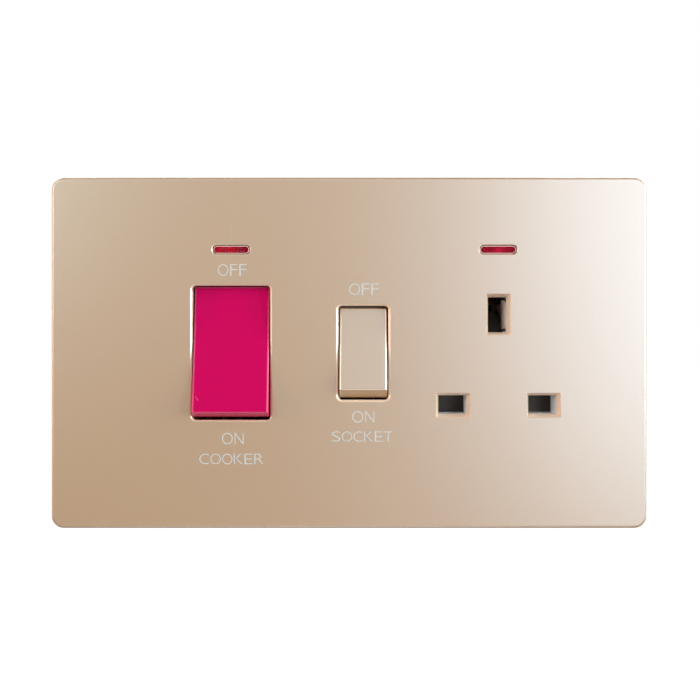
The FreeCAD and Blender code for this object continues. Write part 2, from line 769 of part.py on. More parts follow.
def pin_jaws(x):
    """Pair of spring leaves above and below one flat pin."""
    inner = JAW_GAP / 2
    outer = inner + JAW_T
    mouth = inner + JAW_FLARE
    tip = mouth + JAW_T
    bend = JAW_FRONT + 1.6
    half = JAW_W / 2
    leaves = []
    for side in (-1, 1):
        profile = [
            (JAW_FRONT, tip), (JAW_FRONT, mouth), (bend, inner), (JAW_BACK - 0.5, inner + 0.6),
            (JAW_BACK - 0.5, outer + 0.6), (bend, outer),
        ]
        outline = [(y, PIN_ROW_Z + side * z) for y, z in profile]
        leaves.append(prism_x(outline, x - half, x + half))
    reach = outer + 0.6
    base = block(x - half, x + half, JAW_BACK - 1, JAW_BACK, PIN_ROW_Z - reach, PIN_ROW_Z + reach)
    return join([base] + leaves)


def socket_line_contact():
    x = SOCKET_X + PIN_HALF_PITCH
    foot = block(x - 2, x + 2, JAW_BACK - 0.5, STRIP_FRONT, PIN_ROW_Z - 2.0, PIN_ROW_Z + 0.8)
    return join([pin_jaws(x), foot])


def socket_neutral_contact():
    return pin_jaws(SOCKET_X - PIN_HALF_PITCH)


def earth_contact():
    """Pair of leaves left and right of the upright earth pin."""
    inner = JAW_GAP / 2
    outer = inner + JAW_T
    mouth = inner + JAW_FLARE
    bend = EARTH_JAW_FRONT + 2.0
    back = EARTH_JAW_BACK - 0.5
    low = EARTH_PIN_Z - EARTH_JAW_HALF
    high = EARTH_PIN_Z + EARTH_JAW_HALF
    leaves = []
    for side in (-1, 1):
        profile = [
            (EARTH_JAW_FRONT, mouth + JAW_T), (EARTH_JAW_FRONT, mouth), (bend, inner),
            (back, inner + 0.6), (back, outer + 0.6), (bend, outer),
        ]
        corners = [vec(SOCKET_X + side * across, y, low) for y, across in profile]
        corners.append(corners[0])
        leaves.append(Part.Face(Part.makePolygon(corners)).extrude(vec(0, 0, high - low)))
    reach = outer + 0.6
    base = block(SOCKET_X - reach, SOCKET_X + reach, EARTH_JAW_BACK - 1, EARTH_JAW_BACK, low, high)
    return join([base, earth_guide(mouth)] + leaves)


def earth_guide(mouth):
    """Tongue of the right leaf that leads the earth pin in from just behind the plate."""
    front = EARTH_GUIDE_FRONT
    middle = (front + EARTH_JAW_FRONT) / 2
    back = EARTH_JAW_FRONT + JAW_T
    low = EARTH_GUIDE_LOW
    high = EARTH_GUIDE_HIGH
    profile = [
        (front, low + 0.6), (front + 0.8, low), (middle, low), (back, EARTH_PIN_Z - 1),
        (back, EARTH_PIN_Z + 2), (middle, high), (front + 0.8, high), (front, high - 0.6),
    ]
    return prism_x(profile, SOCKET_X + mouth, SOCKET_X + mouth + JAW_T)


def earth_bar():
    """Joins both earth terminals and the earth contact."""
    front = EARTH_JAW_BACK
    back = front + EARTH_BAR_T
    left = EARTH_LOAD_X - EARTH_DROP_W / 2
    right = SOCKET_X + RISER_HALF
    rail = block(left, right, front, back, EARTH_BAR_LOW, EARTH_BAR_HIGH)
    drop = block(left, left + EARTH_DROP_W, front, back, -EARTH_IN, EARTH_BAR_HIGH)
    riser = block(SOCKET_X - RISER_HALF / 2, right, front, back, EARTH_BAR_LOW, EARTH_IN)
    return join([rail, drop, riser])


def earth_strap():
    """Brass strap from the supply earth terminal to the right fixing lug."""
    x = FIX_PITCH / 2
    front = FRAME_BACK
    back = front + STRAP_T
    ring = rounded_block(x, 0, 8.4, 8.0, 3.8, front, back)
    up = block(x - STRAP_HALF, x + STRAP_HALF, front, back, 2.8, STRAP_HIGH)
    across = block(STRAP_FOLD_X, x + STRAP_HALF, front, back, STRAP_LOW, STRAP_HIGH)
    fold = block(STRAP_FOLD_X, STRAP_FOLD_X + STRAP_T, front, EARTH_FRONT, STRAP_LOW, STRAP_HIGH)
    body = join([ring, up, across, fold])
    slot_w = FIX_SLOT_L + 0.6
    slot_h = 2 * FIX_SLOT_R + 0.6
    return body.cut(rounded_block(x, 0, slot_w, slot_h, 2.2, front - 1, back + 1))


# Shutter

def shutter():
    x = SOCKET_X
    front = SHUTTER_FRONT
    back = SHUTTER_BACK
    bar = block(x - SHUTTER_HALF, x + SHUTTER_HALF, front, back, SHUTTER_BOTTOM, SHUTTER_TOP)
    stem = block(x - STEM_HALF, x + STEM_HALF, front, back, SHUTTER_TOP - 0.5, RAMP_FOOT)
    window = block(x - WINDOW_HALF, x + WINDOW_HALF, front - 1, back + 1, WINDOW_LOW, WINDOW_HIGH)
    foot = RAMP_FOOT - 1.5
    profile = [
        (SHUTTER_FRONT, RAMP_FOOT), (RAMP_DEPTH, RAMP_TOP), (RAMP_DEPTH, RAMP_TOP - 4),
        (SHUTTER_BACK, foot), (SHUTTER_FRONT, foot),
    ]
    ramp = prism_x(profile, x - RAMP_HALF, x + RAMP_HALF)
    return join([bar, stem.cut(window), ramp])


def shutter_spring():
    coil = spring_z(SHUTTER_SPRING_R, SHUTTER_WIRE, SHUTTER_TURNS, STOP_HIGH + 0.05, WINDOW_HIGH - 0.05)
    coil.translate(vec(SOCKET_X, (SHUTTER_FRONT + SHUTTER_BACK) / 2, 0))
    return coil


def shutter_retainer():
    left = SOCKET_X - BLOCK_LEFT
    right = SOCKET_X + BLOCK_RIGHT - 0.2
    back = RETAINER_FRONT + RETAINER_T
    plate = block(left, right, RETAINER_FRONT, back, BLOCK_BOTTOM, BLOCK_TOP)
    cuts = tunnels(RETAINER_FRONT - 1, back + 1, TUNNEL_MARGIN + 0.3)
    half = RETAINER_WINDOW_HALF
    low = RETAINER_WINDOW_LOW
    high = EARTH_GUIDE_HIGH + 1.2
    cuts.append(block(SOCKET_X - half, SOCKET_X + half, RETAINER_FRONT - 1, back + 1, low, high))
    return cut_all(plate, cuts)


# Neon indicators

def lens(x):
    boss = rounded_block(x, NEON_Z, LENS_W, LENS_H, 0.95, LENS_FRONT, LENS_BACK)
    flange_back = FRAME_BACK + LENS_FLANGE_T
    half_w = LENS_FLANGE_W / 2
    half_h = LENS_FLANGE_H / 2
    flange = block(x - half_w, x + half_w, FRAME_BACK, flange_back, NEON_Z - half_h, NEON_Z + half_h)
    return join([boss, flange])


def lamp(x):
    half = LAMP_L / 2
    tube = polygon_y(LAMP_R, 16, 1.2 - half, half - 1.2, 0, 0)
    ends = [nose_y(LAMP_R, 1.0, 16, side * (half - 1.2), side * half) for side in (-1, 1)]
    glass = join([tube] + ends)
    glass.rotate(vec(0, 0, 0), vec(0, 0, 1), 90)
    glass.translate(vec(x, LAMP_Y, NEON_Z))
    return glass


def lamp_cradle(x):
    top = BODY_HALF_H - BODY_WALL_Z + 0.5
    rib = block(x - 0.6, x + 0.6, LAMP_Y - 2.5, LAMP_Y + 2.9, NEON_Z - 0.9, top)
    seat = polygon_y(LAMP_R + 0.1, 16, -1, 1, 0, 0)
    seat.rotate(vec(0, 0, 0), vec(0, 0, 1), 90)
    seat.translate(vec(x, LAMP_Y, NEON_Z))
    return rib.cut(seat)


def cooker_resistor():
    body = polygon_y(RESISTOR_R, 12, 0, RESISTOR_L, 0, 0)
    body.rotate(vec(0, 0, 0), vec(1, 0, 0), 90)
    body.translate(vec(COOKER_LEAD_X, COOKER_LEAD_Y, RESISTOR_FRONT))
    return body


def socket_resistor():
    back = RESISTOR_FRONT + RESISTOR_L
    return polygon_y(RESISTOR_R, 12, RESISTOR_FRONT, back, SOCKET_LEAD_X, NEON_Z)


def cooker_leads():
    right = COOKER_X + LAMP_L / 2
    left = COOKER_X - LAMP_L / 2
    high = NEON_Z + 0.7
    x, y = COOKER_LEAD_X, COOKER_LEAD_Y
    low = COOKER_LEAD_LOW
    top = RESISTOR_FRONT + RESISTOR_L
    upper = [vec(right, LAMP_Y, high), vec(x, LAMP_Y, high), vec(x, y, high), vec(x, y, top)]
    lower = [vec(x, y, RESISTOR_FRONT), vec(x, y, low), vec(LINE_TERM_X + TERM_W / 2, y, low)]
    far = NEUTRAL_TERM_X - TERM_W / 2 - 0.75
    side = [
        vec(left, LAMP_Y, NEON_Z), vec(far, LAMP_Y, NEON_Z), vec(far, y, NEON_Z),
        vec(far, y, low), vec(NEUTRAL_TERM_X - TERM_W / 2, y, low),
    ]
    return Part.makeCompound([lead(upper), lead(lower), lead(side)])


def socket_leads():
    left = SOCKET_X - LAMP_L / 2
    right = SOCKET_X + LAMP_L / 2
    x = SOCKET_LEAD_X
    neutral_edge = SOCKET_X - PIN_HALF_PITCH + 3
    middle = JAW_BACK + LINK_T / 2
    short = [vec(left, LAMP_Y, NEON_Z), vec(x, LAMP_Y, NEON_Z), vec(x, RESISTOR_FRONT, NEON_Z)]
    tail = [
        vec(x, RESISTOR_FRONT + RESISTOR_L, NEON_Z), vec(x, middle, NEON_Z),
        vec(x, middle, LINK_HIGH - 2), vec(neutral_edge, middle, LINK_HIGH - 2),
    ]
    jaw_top = PIN_ROW_Z + JAW_GAP / 2 + JAW_T + 0.6
    out = right + 3.0
    long = [
        vec(right, LAMP_Y, NEON_Z), vec(out, LAMP_Y, NEON_Z), vec(out, 6.0, NEON_Z),
        vec(out, 6.0, -4.0), vec(out, JAW_BACK - 0.5, -4.0), vec(out + 1.6, JAW_BACK - 0.5, -4.0),
        vec(out + 1.6, JAW_BACK - 0.5, jaw_top),
    ]
    return Part.makeCompound([lead(short), lead(tail), lead(long)])


# Rear body

def case_post(x, z):
    return block(x - POST_R, x + POST_R, 0, BODY_FLOOR + 0.5, z - POST_R, z + POST_R)


def case_post_cuts(x, z):
    shaft = polygon_y(CASE_SCREW_R + THREAD_CLEAR + 0.2, 12, -1, CASE_HEAD_Y + 1, x, z)
    well = polygon_y(CASE_HEAD_R + 0.4, 20, CASE_HEAD_Y, BODY_BACK + 1, x, z)
    return [shaft, well]


def case_screws():
    screws = []
    for x in (-POST_X, POST_X):
        for z in (-POST_Z, POST_Z):
            shank = polygon_y(CASE_SCREW_R, 12, CASE_SCREW_TIP, CASE_HEAD_Y + 0.5, x, z)
            head = polygon_y(CASE_HEAD_R, 16, CASE_HEAD_Y, CASE_HEAD_Y + 2.2, x, z)
            long = block(x - 1.6, x + 1.6, CASE_HEAD_Y + 1.2, CASE_HEAD_Y + 3, z - 0.35, z + 0.35)
            short = block(x - 0.35, x + 0.35, CASE_HEAD_Y + 1.2, CASE_HEAD_Y + 3, z - 1.6, z + 1.6)
            screws.append(cut_all(join([shank, head]), [long, short]))
    return Part.makeCompound(screws)


def strip_supports():
    """Ribs on the floor that carry the brass strips."""
    floor = BODY_FLOOR + 0.5
    strip_back = STRIP_FRONT + STRIP_T
    link_back = STRIP_FRONT + LINK_T
    neutral_x = SOCKET_X - PIN_HALF_PITCH
    line_x = SOCKET_X + PIN_HALF_PITCH
    ribs = []
    for side in (-1, 1):
        x = COOKER_X + side * POLE_OFFSET
        ribs.append(block(x - 2, x + 2, strip_back, floor, 10.0, 13.0))
        ribs.append(block(x - 2, x + 2, strip_back, floor, -2.5, 0.8))
    ribs.append(block(SWITCH_X - 2, SWITCH_X + 2, link_back, floor, 7.6, 10.0))
    ribs.append(block(SWITCH_X - 2, SWITCH_X + 2, link_back, floor, -3.0, 0.8))
    ribs.append(block(18.0, 30.0, link_back, floor, -19.0, -17.2))
    ribs.append(block(neutral_x - 1.5, neutral_x + 1.5, JAW_BACK + LINK_T, floor, -14.5, -11.0))
    ribs.append(block(line_x - 1.5, line_x + 1.5, link_back, floor, -15.0, -12.2))
    ribs.append(block(SOCKET_X - 1.2, SOCKET_X + 1.2, EARTH_JAW_BACK + EARTH_BAR_T, floor, 8.0, 11.0))
    return ribs


def retainer_supports():
    """Pillars that hold the shutter retainer against the frame."""
    back = RETAINER_FRONT + RETAINER_T
    left = SOCKET_X - BLOCK_LEFT
    wall = BODY_HALF_W - BODY_WALL_X
    return [
        block(left + 0.2, left + 2.2, back, BODY_FLOOR + 0.5, 10.0, 14.0),
        block(30.0, 34.0, back, BODY_FLOOR + 0.5, BLOCK_BOTTOM + 0.2, BLOCK_BOTTOM + 1.8),
        block(wall - 1.4, wall + 0.5, back, BODY_FLOOR + 0.5, 8.0, 12.0),
    ]


def entries(in_z):
    """Cable entries in the end walls and screwdriver ways in the back wall."""
    cuts = []
    for side in (-1, 1):
        middle = side * (TERM_IN + TERM_OUT) / 2
        low, high = sorted((side * (in_z - 0.5), side * (BODY_HALF_H + 1)))
        for x in (NEUTRAL_TERM_X, LINE_TERM_X):
            cuts.append(rod_z(ENTRY_R, low, high, x, TERM_BORE_Y))
            cuts.append(polygon_y(TERM_HEAD_R + 0.4, 24, BODY_FLOOR, BODY_BACK + 1, x, middle))
    for x, side in ((EARTH_SUPPLY_X, 1), (EARTH_LOAD_X, -1)):
        low, high = sorted((side * (in_z - 0.5), side * (BODY_HALF_H + 1)))
        cuts.append(rod_z(ENTRY_EARTH_R, low, high, x, EARTH_BORE_Y))
        middle = side * (EARTH_IN + TERM_OUT) / 2
        cuts.append(polygon_y(EARTH_HEAD_R + 0.4, 24, BODY_FLOOR, BODY_BACK + 1, x, middle))
    return cuts


def strap_notch(in_x):
    z0 = STRAP_LOW - 0.3
    z1 = STRAP_HIGH + 0.3
    return block(in_x - 0.5, BODY_HALF_W + 1, FRAME_BACK - 1, FRAME_BACK + STRAP_T + 0.2, z0, z1)


def rear_body():
    body = block(-BODY_HALF_W, BODY_HALF_W, FRAME_BACK, BODY_BACK, -BODY_HALF_H, BODY_HALF_H)
    body = body.makeFillet(2.5, edges_along_y(body))
    in_x = BODY_HALF_W - BODY_WALL_X
    in_z = BODY_HALF_H - BODY_WALL_Z
    body = body.cut(block(-in_x, in_x, FRAME_BACK - 1, BODY_FLOOR, -in_z, in_z))
    added = strip_supports() + retainer_supports()
    for x in (-POST_X, POST_X):
        for z in (-POST_Z, POST_Z):
            added.append(case_post(x, z))
    for x in (COOKER_X, SOCKET_X):
        added += [lamp_cradle(x - 3.0), lamp_cradle(x + 3.0)]
    floor = BODY_FLOOR + 0.5
    half = 0.8
    divider = block(COOKER_X - half, COOKER_X + half, TERM_FRONT, floor, -in_z - 0.5, in_z + 0.5)
    barrier_x = EARTH_LOAD_X - EARTH_W / 2 - 1.3
    barrier = block(barrier_x, barrier_x + 1.2, 2.0, floor, -in_z - 0.5, 13.0)
    body = join([body, divider, barrier] + added)
    cuts = entries(in_z) + [strap_notch(in_x)]
    for x in (-POST_X, POST_X):
        for z in (-POST_Z, POST_Z):
            cuts += case_post_cuts(x, z)
    return cut_all(body, cuts)


os.makedirs("parts", exist_ok=True)

line_pole = COOKER_X + POLE_OFFSET
neutral_pole = COOKER_X - POLE_OFFSET

save("front_cover", front_cover())
save("mounting_frame", mounting_frame())
save("rear_body", rear_body())
save("case_screws", case_screws())

save("cooker_rocker", cooker_rocker())
save("socket_rocker", socket_rocker())
save("cooker_plunger_line", plunger(line_pole))
save("cooker_plunger_neutral", plunger(neutral_pole))
save("socket_plunger", plunger(SWITCH_X))
save("cooker_spring_line", plunger_spring(line_pole))
save("cooker_spring_neutral", plunger_spring(neutral_pole))
save("socket_spring", plunger_spring(SWITCH_X))

save("cooker_arm_line", contact_arm(line_pole, COOKER_ARM, COOKER_SWING))
save("cooker_arm_neutral", contact_arm(neutral_pole, COOKER_ARM, COOKER_SWING))
save("socket_arm", contact_arm(SWITCH_X, SWITCH_ARM, SWITCH_SWING))
save("cooker_button_line", arm_button(line_pole, COOKER_ARM, COOKER_SWING, COOKER_BUTTON_R))
save("cooker_button_neutral", arm_button(neutral_pole, COOKER_ARM, COOKER_SWING, COOKER_BUTTON_R))
save("socket_button", arm_button(SWITCH_X, SWITCH_ARM, SWITCH_SWING, SWITCH_BUTTON_R))

save("supply_terminal_line", supply_terminal(LINE_TERM_X, line_pole))
save("supply_terminal_neutral", supply_terminal(NEUTRAL_TERM_X, neutral_pole))
save("load_terminal_line", load_terminal(LINE_TERM_X, line_pole))
save("load_terminal_neutral", load_terminal(NEUTRAL_TERM_X, neutral_pole))
save("earth_terminal_supply", earth_terminal(EARTH_SUPPLY_X, 1))
save("earth_terminal_load", earth_terminal(EARTH_LOAD_X, -1))
save("terminal_screws", terminal_screws())
save("earth_terminal_screws", earth_terminal_screws())
save("fixed_contacts", fixed_buttons())

save("line_link", line_link())
save("load_link", load_link())
save("neutral_link", neutral_link())
save("socket_line_contact", socket_line_contact())
save("socket_neutral_contact", socket_neutral_contact())
save("earth_contact", earth_contact())
save("earth_bar", earth_bar())
save("earth_strap", earth_strap())

save("shutter", shutter())
save("shutter_spring", shutter_spring())
save("shutter_retainer", shutter_retainer())

save("cooker_lens", lens(COOKER_X))
save("socket_lens", lens(SOCKET_X))
save("cooker_lamp", lamp(COOKER_X))
save("socket_lamp", lamp(SOCKET_X))
save("cooker_resistor", cooker_resistor())
save("socket_resistor", socket_resistor())
save("cooker_leads", cooker_leads())
save("socket_leads", socket_leads())
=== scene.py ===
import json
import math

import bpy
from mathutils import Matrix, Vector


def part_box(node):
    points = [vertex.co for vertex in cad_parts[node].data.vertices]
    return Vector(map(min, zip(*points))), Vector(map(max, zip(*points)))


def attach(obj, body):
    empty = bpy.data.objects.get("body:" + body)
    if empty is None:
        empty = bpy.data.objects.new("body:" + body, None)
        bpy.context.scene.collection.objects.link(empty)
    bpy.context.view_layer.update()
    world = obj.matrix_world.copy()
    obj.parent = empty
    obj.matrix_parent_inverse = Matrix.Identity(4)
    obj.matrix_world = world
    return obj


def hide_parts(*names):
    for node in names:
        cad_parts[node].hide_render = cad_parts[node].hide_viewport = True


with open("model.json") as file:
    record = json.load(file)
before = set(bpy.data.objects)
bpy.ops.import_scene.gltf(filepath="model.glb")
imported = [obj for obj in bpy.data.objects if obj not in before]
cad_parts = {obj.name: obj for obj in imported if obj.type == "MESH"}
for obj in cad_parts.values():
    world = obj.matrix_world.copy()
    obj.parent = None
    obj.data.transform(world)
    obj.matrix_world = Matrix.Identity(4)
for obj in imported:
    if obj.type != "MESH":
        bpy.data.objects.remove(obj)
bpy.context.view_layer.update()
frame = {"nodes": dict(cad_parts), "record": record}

# %% [markdown]
# # Cooker control unit
# The frame is the CAD model, already in place: plate, rockers, contacts and body.
# This lesson gives every piece its finish, and models by hand what the solids leave plain:
# the legends, the two neon lenses, the earth contact's leaves, the screws and the marks on
# the back.

MM = 0.001
MM_PER_METRE = 1000.0
COOKER_X = -28.9  # the line of the cooker's rocker and lamp, in millimetres
SOCKET_X = 36.6   # the line of the socket's earth pin and lamp
nodes = frame["nodes"]


# %% [markdown]
# ## Working by hand, in code
# A modelling operator acts on whatever is selected. By hand that is a click; here a small
# function picks faces or edges by where they are and which way they look.
# Everything is deselected first, because the loaded frame arrives selected. A new piece puts
# its place into its mesh at once, so it sits at the origin as the solids do.

# %% Helpers to begin a piece
FACING = 0.9      # a face looks along an axis when its normal has at least this much of it
HAIR = 0.01 * MM  # slack when points are told apart by their place


def leave_edit():
    bpy.ops.object.mode_set(mode="OBJECT")


def clear_selection():
    if bpy.context.object and bpy.context.object.mode == "EDIT":
        leave_edit()
    for thing in bpy.context.selected_objects:
        thing.select_set(False)


def settle(name):
    """Names the new piece and puts its place, turn and size into its mesh."""
    piece = bpy.context.object
    piece.name = name
    bpy.ops.object.transform_apply(location=True, rotation=True, scale=True)
    return piece


def begin_block(name, size, centre):
    """A cube at its size and place, ready to be shaped."""
    clear_selection()
    bpy.ops.mesh.primitive_cube_add(size=1, location=centre)
    bpy.context.object.scale = size
    return settle(name)


def begin_disc(name, radius, depth, centre, sides):
    """A cylinder that looks back along +Y, ready to be shaped."""
    clear_selection()
    turn = (-math.pi / 2, 0, 0)
    bpy.ops.mesh.primitive_cylinder_add(
        vertices=sides, radius=radius, depth=depth, location=centre, rotation=turn)
    return settle(name)


print("a piece begins as a block or a disc")


# %% Helpers to pick faces and edges
def deselect_inside(piece, kind):
    """Sets edit mode to faces or edges and leaves nothing of the mesh selected."""
    bpy.context.view_layer.objects.active = piece
    bpy.ops.object.mode_set(mode="EDIT")
    bpy.ops.mesh.select_mode(type=kind)
    bpy.ops.mesh.select_all(action="DESELECT")
    leave_edit()


def pick_faces(piece, wanted):
    """Leaves edit mode open with only the wanted faces selected, and counts them."""
    deselect_inside(piece, "FACE")
    for face in piece.data.polygons:
        face.select = wanted(face.center, face.normal)
    count = sum(face.select for face in piece.data.polygons)
    bpy.ops.object.mode_set(mode="EDIT")
    return count


def pick_edges(piece, wanted):
    """Leaves edit mode open with only the wanted edges selected."""
    deselect_inside(piece, "EDGE")
    points = piece.data.vertices
    for edge in piece.data.edges:
        edge.select = wanted(*(points[i].co for i in edge.vertices))
    bpy.ops.object.mode_set(mode="EDIT")


print("faces and edges are picked by place and normal")


# %% Helpers to shape, copy and join
def extrude(step):
    """Draws the picked faces out by a step."""
    bpy.ops.mesh.extrude_region_move(TRANSFORM_OT_translate={"value": step})


def round_edges(piece, wanted, offset, segments):
    pick_edges(piece, wanted)
    bpy.ops.mesh.bevel(offset=offset, segments=segments, affect="EDGES")
    leave_edit()


def slice_faces(piece, wanted, through, across):
    """Cuts the wanted faces by the plane through a point, square to a direction."""
    pick_faces(piece, wanted)
    bpy.ops.mesh.bisect(plane_co=through, plane_no=across)
    leave_edit()


def copy_piece(piece, step):
    """A new piece on its own copy of the mesh, moved by step. It has yet to ride on a body."""
    twin = bpy.data.objects.new(piece.name, piece.data.copy())
    bpy.context.scene.collection.objects.link(twin)
    for point in twin.data.vertices:
        point.co += Vector(step)
    return twin


def join_pieces(pieces, name):
    clear_selection()
    for piece in pieces:
        piece.select_set(True)
    bpy.context.view_layer.objects.active = pieces[0]
    bpy.ops.object.join()
    whole = bpy.context.object
    whole.name = name
    return whole


def cut_with(piece, cutter):
    """Takes the cutter's shape out of the piece and throws the cutter away."""
    clear_selection()
    bpy.context.view_layer.objects.active = piece
    piece.select_set(True)
    cut = piece.modifiers.new("cut", "BOOLEAN")
    cut.operation = "DIFFERENCE"
    cut.solver = "EXACT"
    cut.object = cutter
    bpy.ops.object.modifier_apply(modifier=cut.name)
    bpy.data.objects.remove(cutter)


print("modelling helpers ready")

# %% [markdown]
# ## Shared effects
# Every moulding has a fine spark-eroded skin, every stamping shows the line of its rolling,
# and lacquer carries small flakes. Each effect is one node group, built once, and each
# material places it with its own values. Object coordinates keep a pattern fixed to its piece.

# %% Helpers for node groups
FLOAT = "NodeSocketFloat"


def begin_group(name, inputs, outputs):
    group = bpy.data.node_groups.new(name, "ShaderNodeTree")
    for label, value in inputs.items():
        socket = group.interface.new_socket(label, in_out="INPUT", socket_type=FLOAT)
        socket.default_value = value
    for label in outputs:
        group.interface.new_socket(label, in_out="OUTPUT", socket_type=FLOAT)
    start = group.nodes.new("NodeGroupInput")
    end = group.nodes.new("NodeGroupOutput")
    return group, start.outputs, end.inputs


def feed(tree, slot, value):
    """Gives a socket another socket's value, or a plain number."""
    if isinstance(value, (int, float)):
        slot.default_value = value
    else:
        tree.links.new(value, slot)


def maths(tree, operation, first, second=None, clamp=False):
    node = tree.nodes.new("ShaderNodeMath")
    node.operation = operation
    node.use_clamp = clamp
    feed(tree, node.inputs[0], first)
    if second is not None:
        feed(tree, node.inputs[1], second)
    return node.outputs[0]


def times(tree, first, second, clamp=False):
    return maths(tree, "MULTIPLY", first, second, clamp)


def minus(tree, first, second, clamp=False):
    return maths(tree, "SUBTRACT", first, second, clamp)


def rise(tree, value, start, gain):
    """0 up to start, then rising to 1 at the stated gain."""
    return times(tree, minus(tree, value, start), gain, clamp=True)


def noise(tree, vector, scale, detail=2.0, roughness=0.5):
    node = tree.nodes.new("ShaderNodeTexNoise")
    tree.links.new(vector, node.inputs["Vector"])
    feed(tree, node.inputs["Scale"], scale)
    feed(tree, node.inputs["Detail"], detail)
    feed(tree, node.inputs["Roughness"], roughness)
    return node.outputs["Fac"]


def object_place(tree):
    return tree.nodes.new("ShaderNodeTexCoord").outputs["Object"]


def along_axis(tree, axis):
    """One of the piece's own coordinates, in millimetres."""
    split = tree.nodes.new("ShaderNodeSeparateXYZ")
    tree.links.new(object_place(tree), split.inputs[0])
    return times(tree, split.outputs[axis], MM_PER_METRE)


print("node helpers ready")

# %% [markdown]
# ### Moulded skin
# The steel tool is spark-eroded, and its grain is copied onto each moulding. A photograph of
# grain would stretch over the rockers' curves, so the skin is two noises: a fine one for its
# height and a slow one for the plastic's uneven tone.

# %% Moulded skin
def build_moulded_skin():
    """Height of the tool's grain, and a slow cloud of tone."""
    group, start, end = begin_group(
        "moulded_skin", {"Grain per metre": 6000.0, "Cloud per metre": 60.0}, ("Height", "Cloud"))
    place = object_place(group)
    fine = noise(group, place, start["Grain per metre"], detail=3.0, roughness=0.6)
    slow = noise(group, place, start["Cloud per metre"])
    group.links.new(fine, end["Height"])
    group.links.new(slow, end["Cloud"])
    return group


moulded_skin = build_moulded_skin()
print("group", moulded_skin.name)

# %% [markdown]
# ### Lacquer flake
# A metallic lacquer holds flakes about a fifth of a millimetre apart. Voronoi cells give each
# flake one flat tone of its own, which smooth noise can't.

# %% Lacquer flake
def build_lacquer_flake():
    """Tiny metal flakes in a lacquer, each with its own tone."""
    group, start, end = begin_group("lacquer_flake", {"Flakes per metre": 5200.0}, ("Tone",))
    cells = group.nodes.new("ShaderNodeTexVoronoi")
    group.links.new(object_place(group), cells.inputs["Vector"])
    group.links.new(start["Flakes per metre"], cells.inputs["Scale"])
    parts = group.nodes.new("ShaderNodeSeparateColor")
    group.links.new(cells.outputs["Color"], parts.inputs["Color"])
    group.links.new(parts.outputs[0], end["Tone"])
    return group


lacquer_flake = build_lacquer_flake()
print("group", lacquer_flake.name)

# %% [markdown]
# ### Rolled sheet
# Rolling and drawing leave fine lines along a strip, and handling leaves slow stains. Noise
# that is squeezed across the lines gives them, and three numbers turn them to any strip.

# %% Rolled sheet
def build_rolled_sheet():
    """Fine lines left by rolling or drawing, long in one direction, and stains."""
    inputs = {"Across X": 4000.0, "Across Y": 4000.0, "Across Z": 300.0, "Stain per metre": 160.0}
    group, start, end = begin_group("rolled_sheet", inputs, ("Lines", "Stain"))
    place = object_place(group)
    stretch = group.nodes.new("ShaderNodeCombineXYZ")
    for axis in "XYZ":
        group.links.new(start["Across " + axis], stretch.inputs[axis])
    product = group.nodes.new("ShaderNodeVectorMath")
    product.operation = "MULTIPLY"
    group.links.new(place, product.inputs[0])
    group.links.new(stretch.outputs[0], product.inputs[1])
    lines = noise(group, product.outputs[0], scale=1.0, detail=3.0)
    stain = noise(group, place, start["Stain per metre"], detail=3.0, roughness=0.6)
    group.links.new(lines, end["Lines"])
    group.links.new(stain, end["Stain"])
    return group


rolled_sheet = build_rolled_sheet()
print("group", rolled_sheet.name)

# %% [markdown]
# ### Hairline scratch
# A used front has a hairline scratch or two. Its mask is the distance from a short straight
# line, so it stays sharp however close one looks, where a painted map would blur.

# %% Hairline scratch
def dot(tree, first, second):
    """Sum of the products of two pairs of sockets."""
    return maths(tree, "ADD", *(times(tree, a, b) for a, b in zip(first, second)))


def build_hairline():
    """Mask of one short straight mark from (X1, Z1) to (X2, Z2), in millimetres."""
    inputs = {"X1": 0.0, "Z1": 0.0, "X2": 1.0, "Z2": 0.0, "Width": 0.08}
    group, start, end = begin_group("hairline", inputs, ("Mask",))
    run = [minus(group, start[axis + "2"], start[axis + "1"]) for axis in "XZ"]
    off = [minus(group, along_axis(group, axis), start[axis + "1"]) for axis in "XZ"]
    share = maths(group, "DIVIDE", dot(group, off, run), dot(group, run, run), clamp=True)
    miss = [minus(group, o, times(group, r, share)) for o, r in zip(off, run)]
    far = maths(group, "SQRT", dot(group, miss, miss))
    near = maths(group, "DIVIDE", far, start["Width"])
    group.links.new(minus(group, 1.0, near, clamp=True), end["Mask"])
    return group


hairline = build_hairline()
print("group", hairline.name)

# %% [markdown]
# ### Slanted edge
# The painted highlights on the cuts round the openings and on the rockers' rims, and the painted
# shade and painted reflection on the rockers' chins, go on narrow faces that lie neither flat nor
# upright. Their normal tells them from the rest, so nothing is painted face by face. A reach from
# the plate's middle keeps the mask off the plate's outer border.

# %% Slanted edge
EDGE_FADE = 10.0  # the mask fades over a tenth of the normal's length


def build_slanted_edge():
    """Mask of the narrow faces cut at a slant round an opening or a rim."""
    inputs = {"Flat from": 0.96, "Upright below": 0.1, "Reach X": 71.5, "Reach Z": 41.5}
    group, start, end = begin_group("slanted_edge", inputs, ("Mask",))
    look = group.nodes.new("ShaderNodeSeparateXYZ")
    normal = group.nodes.new("ShaderNodeTexCoord").outputs["Normal"]
    group.links.new(normal, look.inputs[0])
    front = maths(group, "ABSOLUTE", look.outputs["Y"])
    not_flat = rise(group, start["Flat from"], front, EDGE_FADE)
    not_upright = rise(group, front, start["Upright below"], EDGE_FADE)
    mask = times(group, not_flat, not_upright)
    for axis in "XZ":
        far = maths(group, "ABSOLUTE", along_axis(group, axis))
        mask = times(group, mask, minus(group, start["Reach " + axis], far, clamp=True))
    group.links.new(mask, end["Mask"])
    return group


slanted_edge = build_slanted_edge()
print("group", slanted_edge.name)

# %% [markdown]
# ## Finishes
# A finish is a Principled shader with two or three tones mixed by the shared effects, and a
# little bump. Flat colour alone looks like a drawing; it is the small change of tone and
# gloss that says plastic, brass or lacquer. What is the same all over, such as the coat, is
# set on the shader itself.

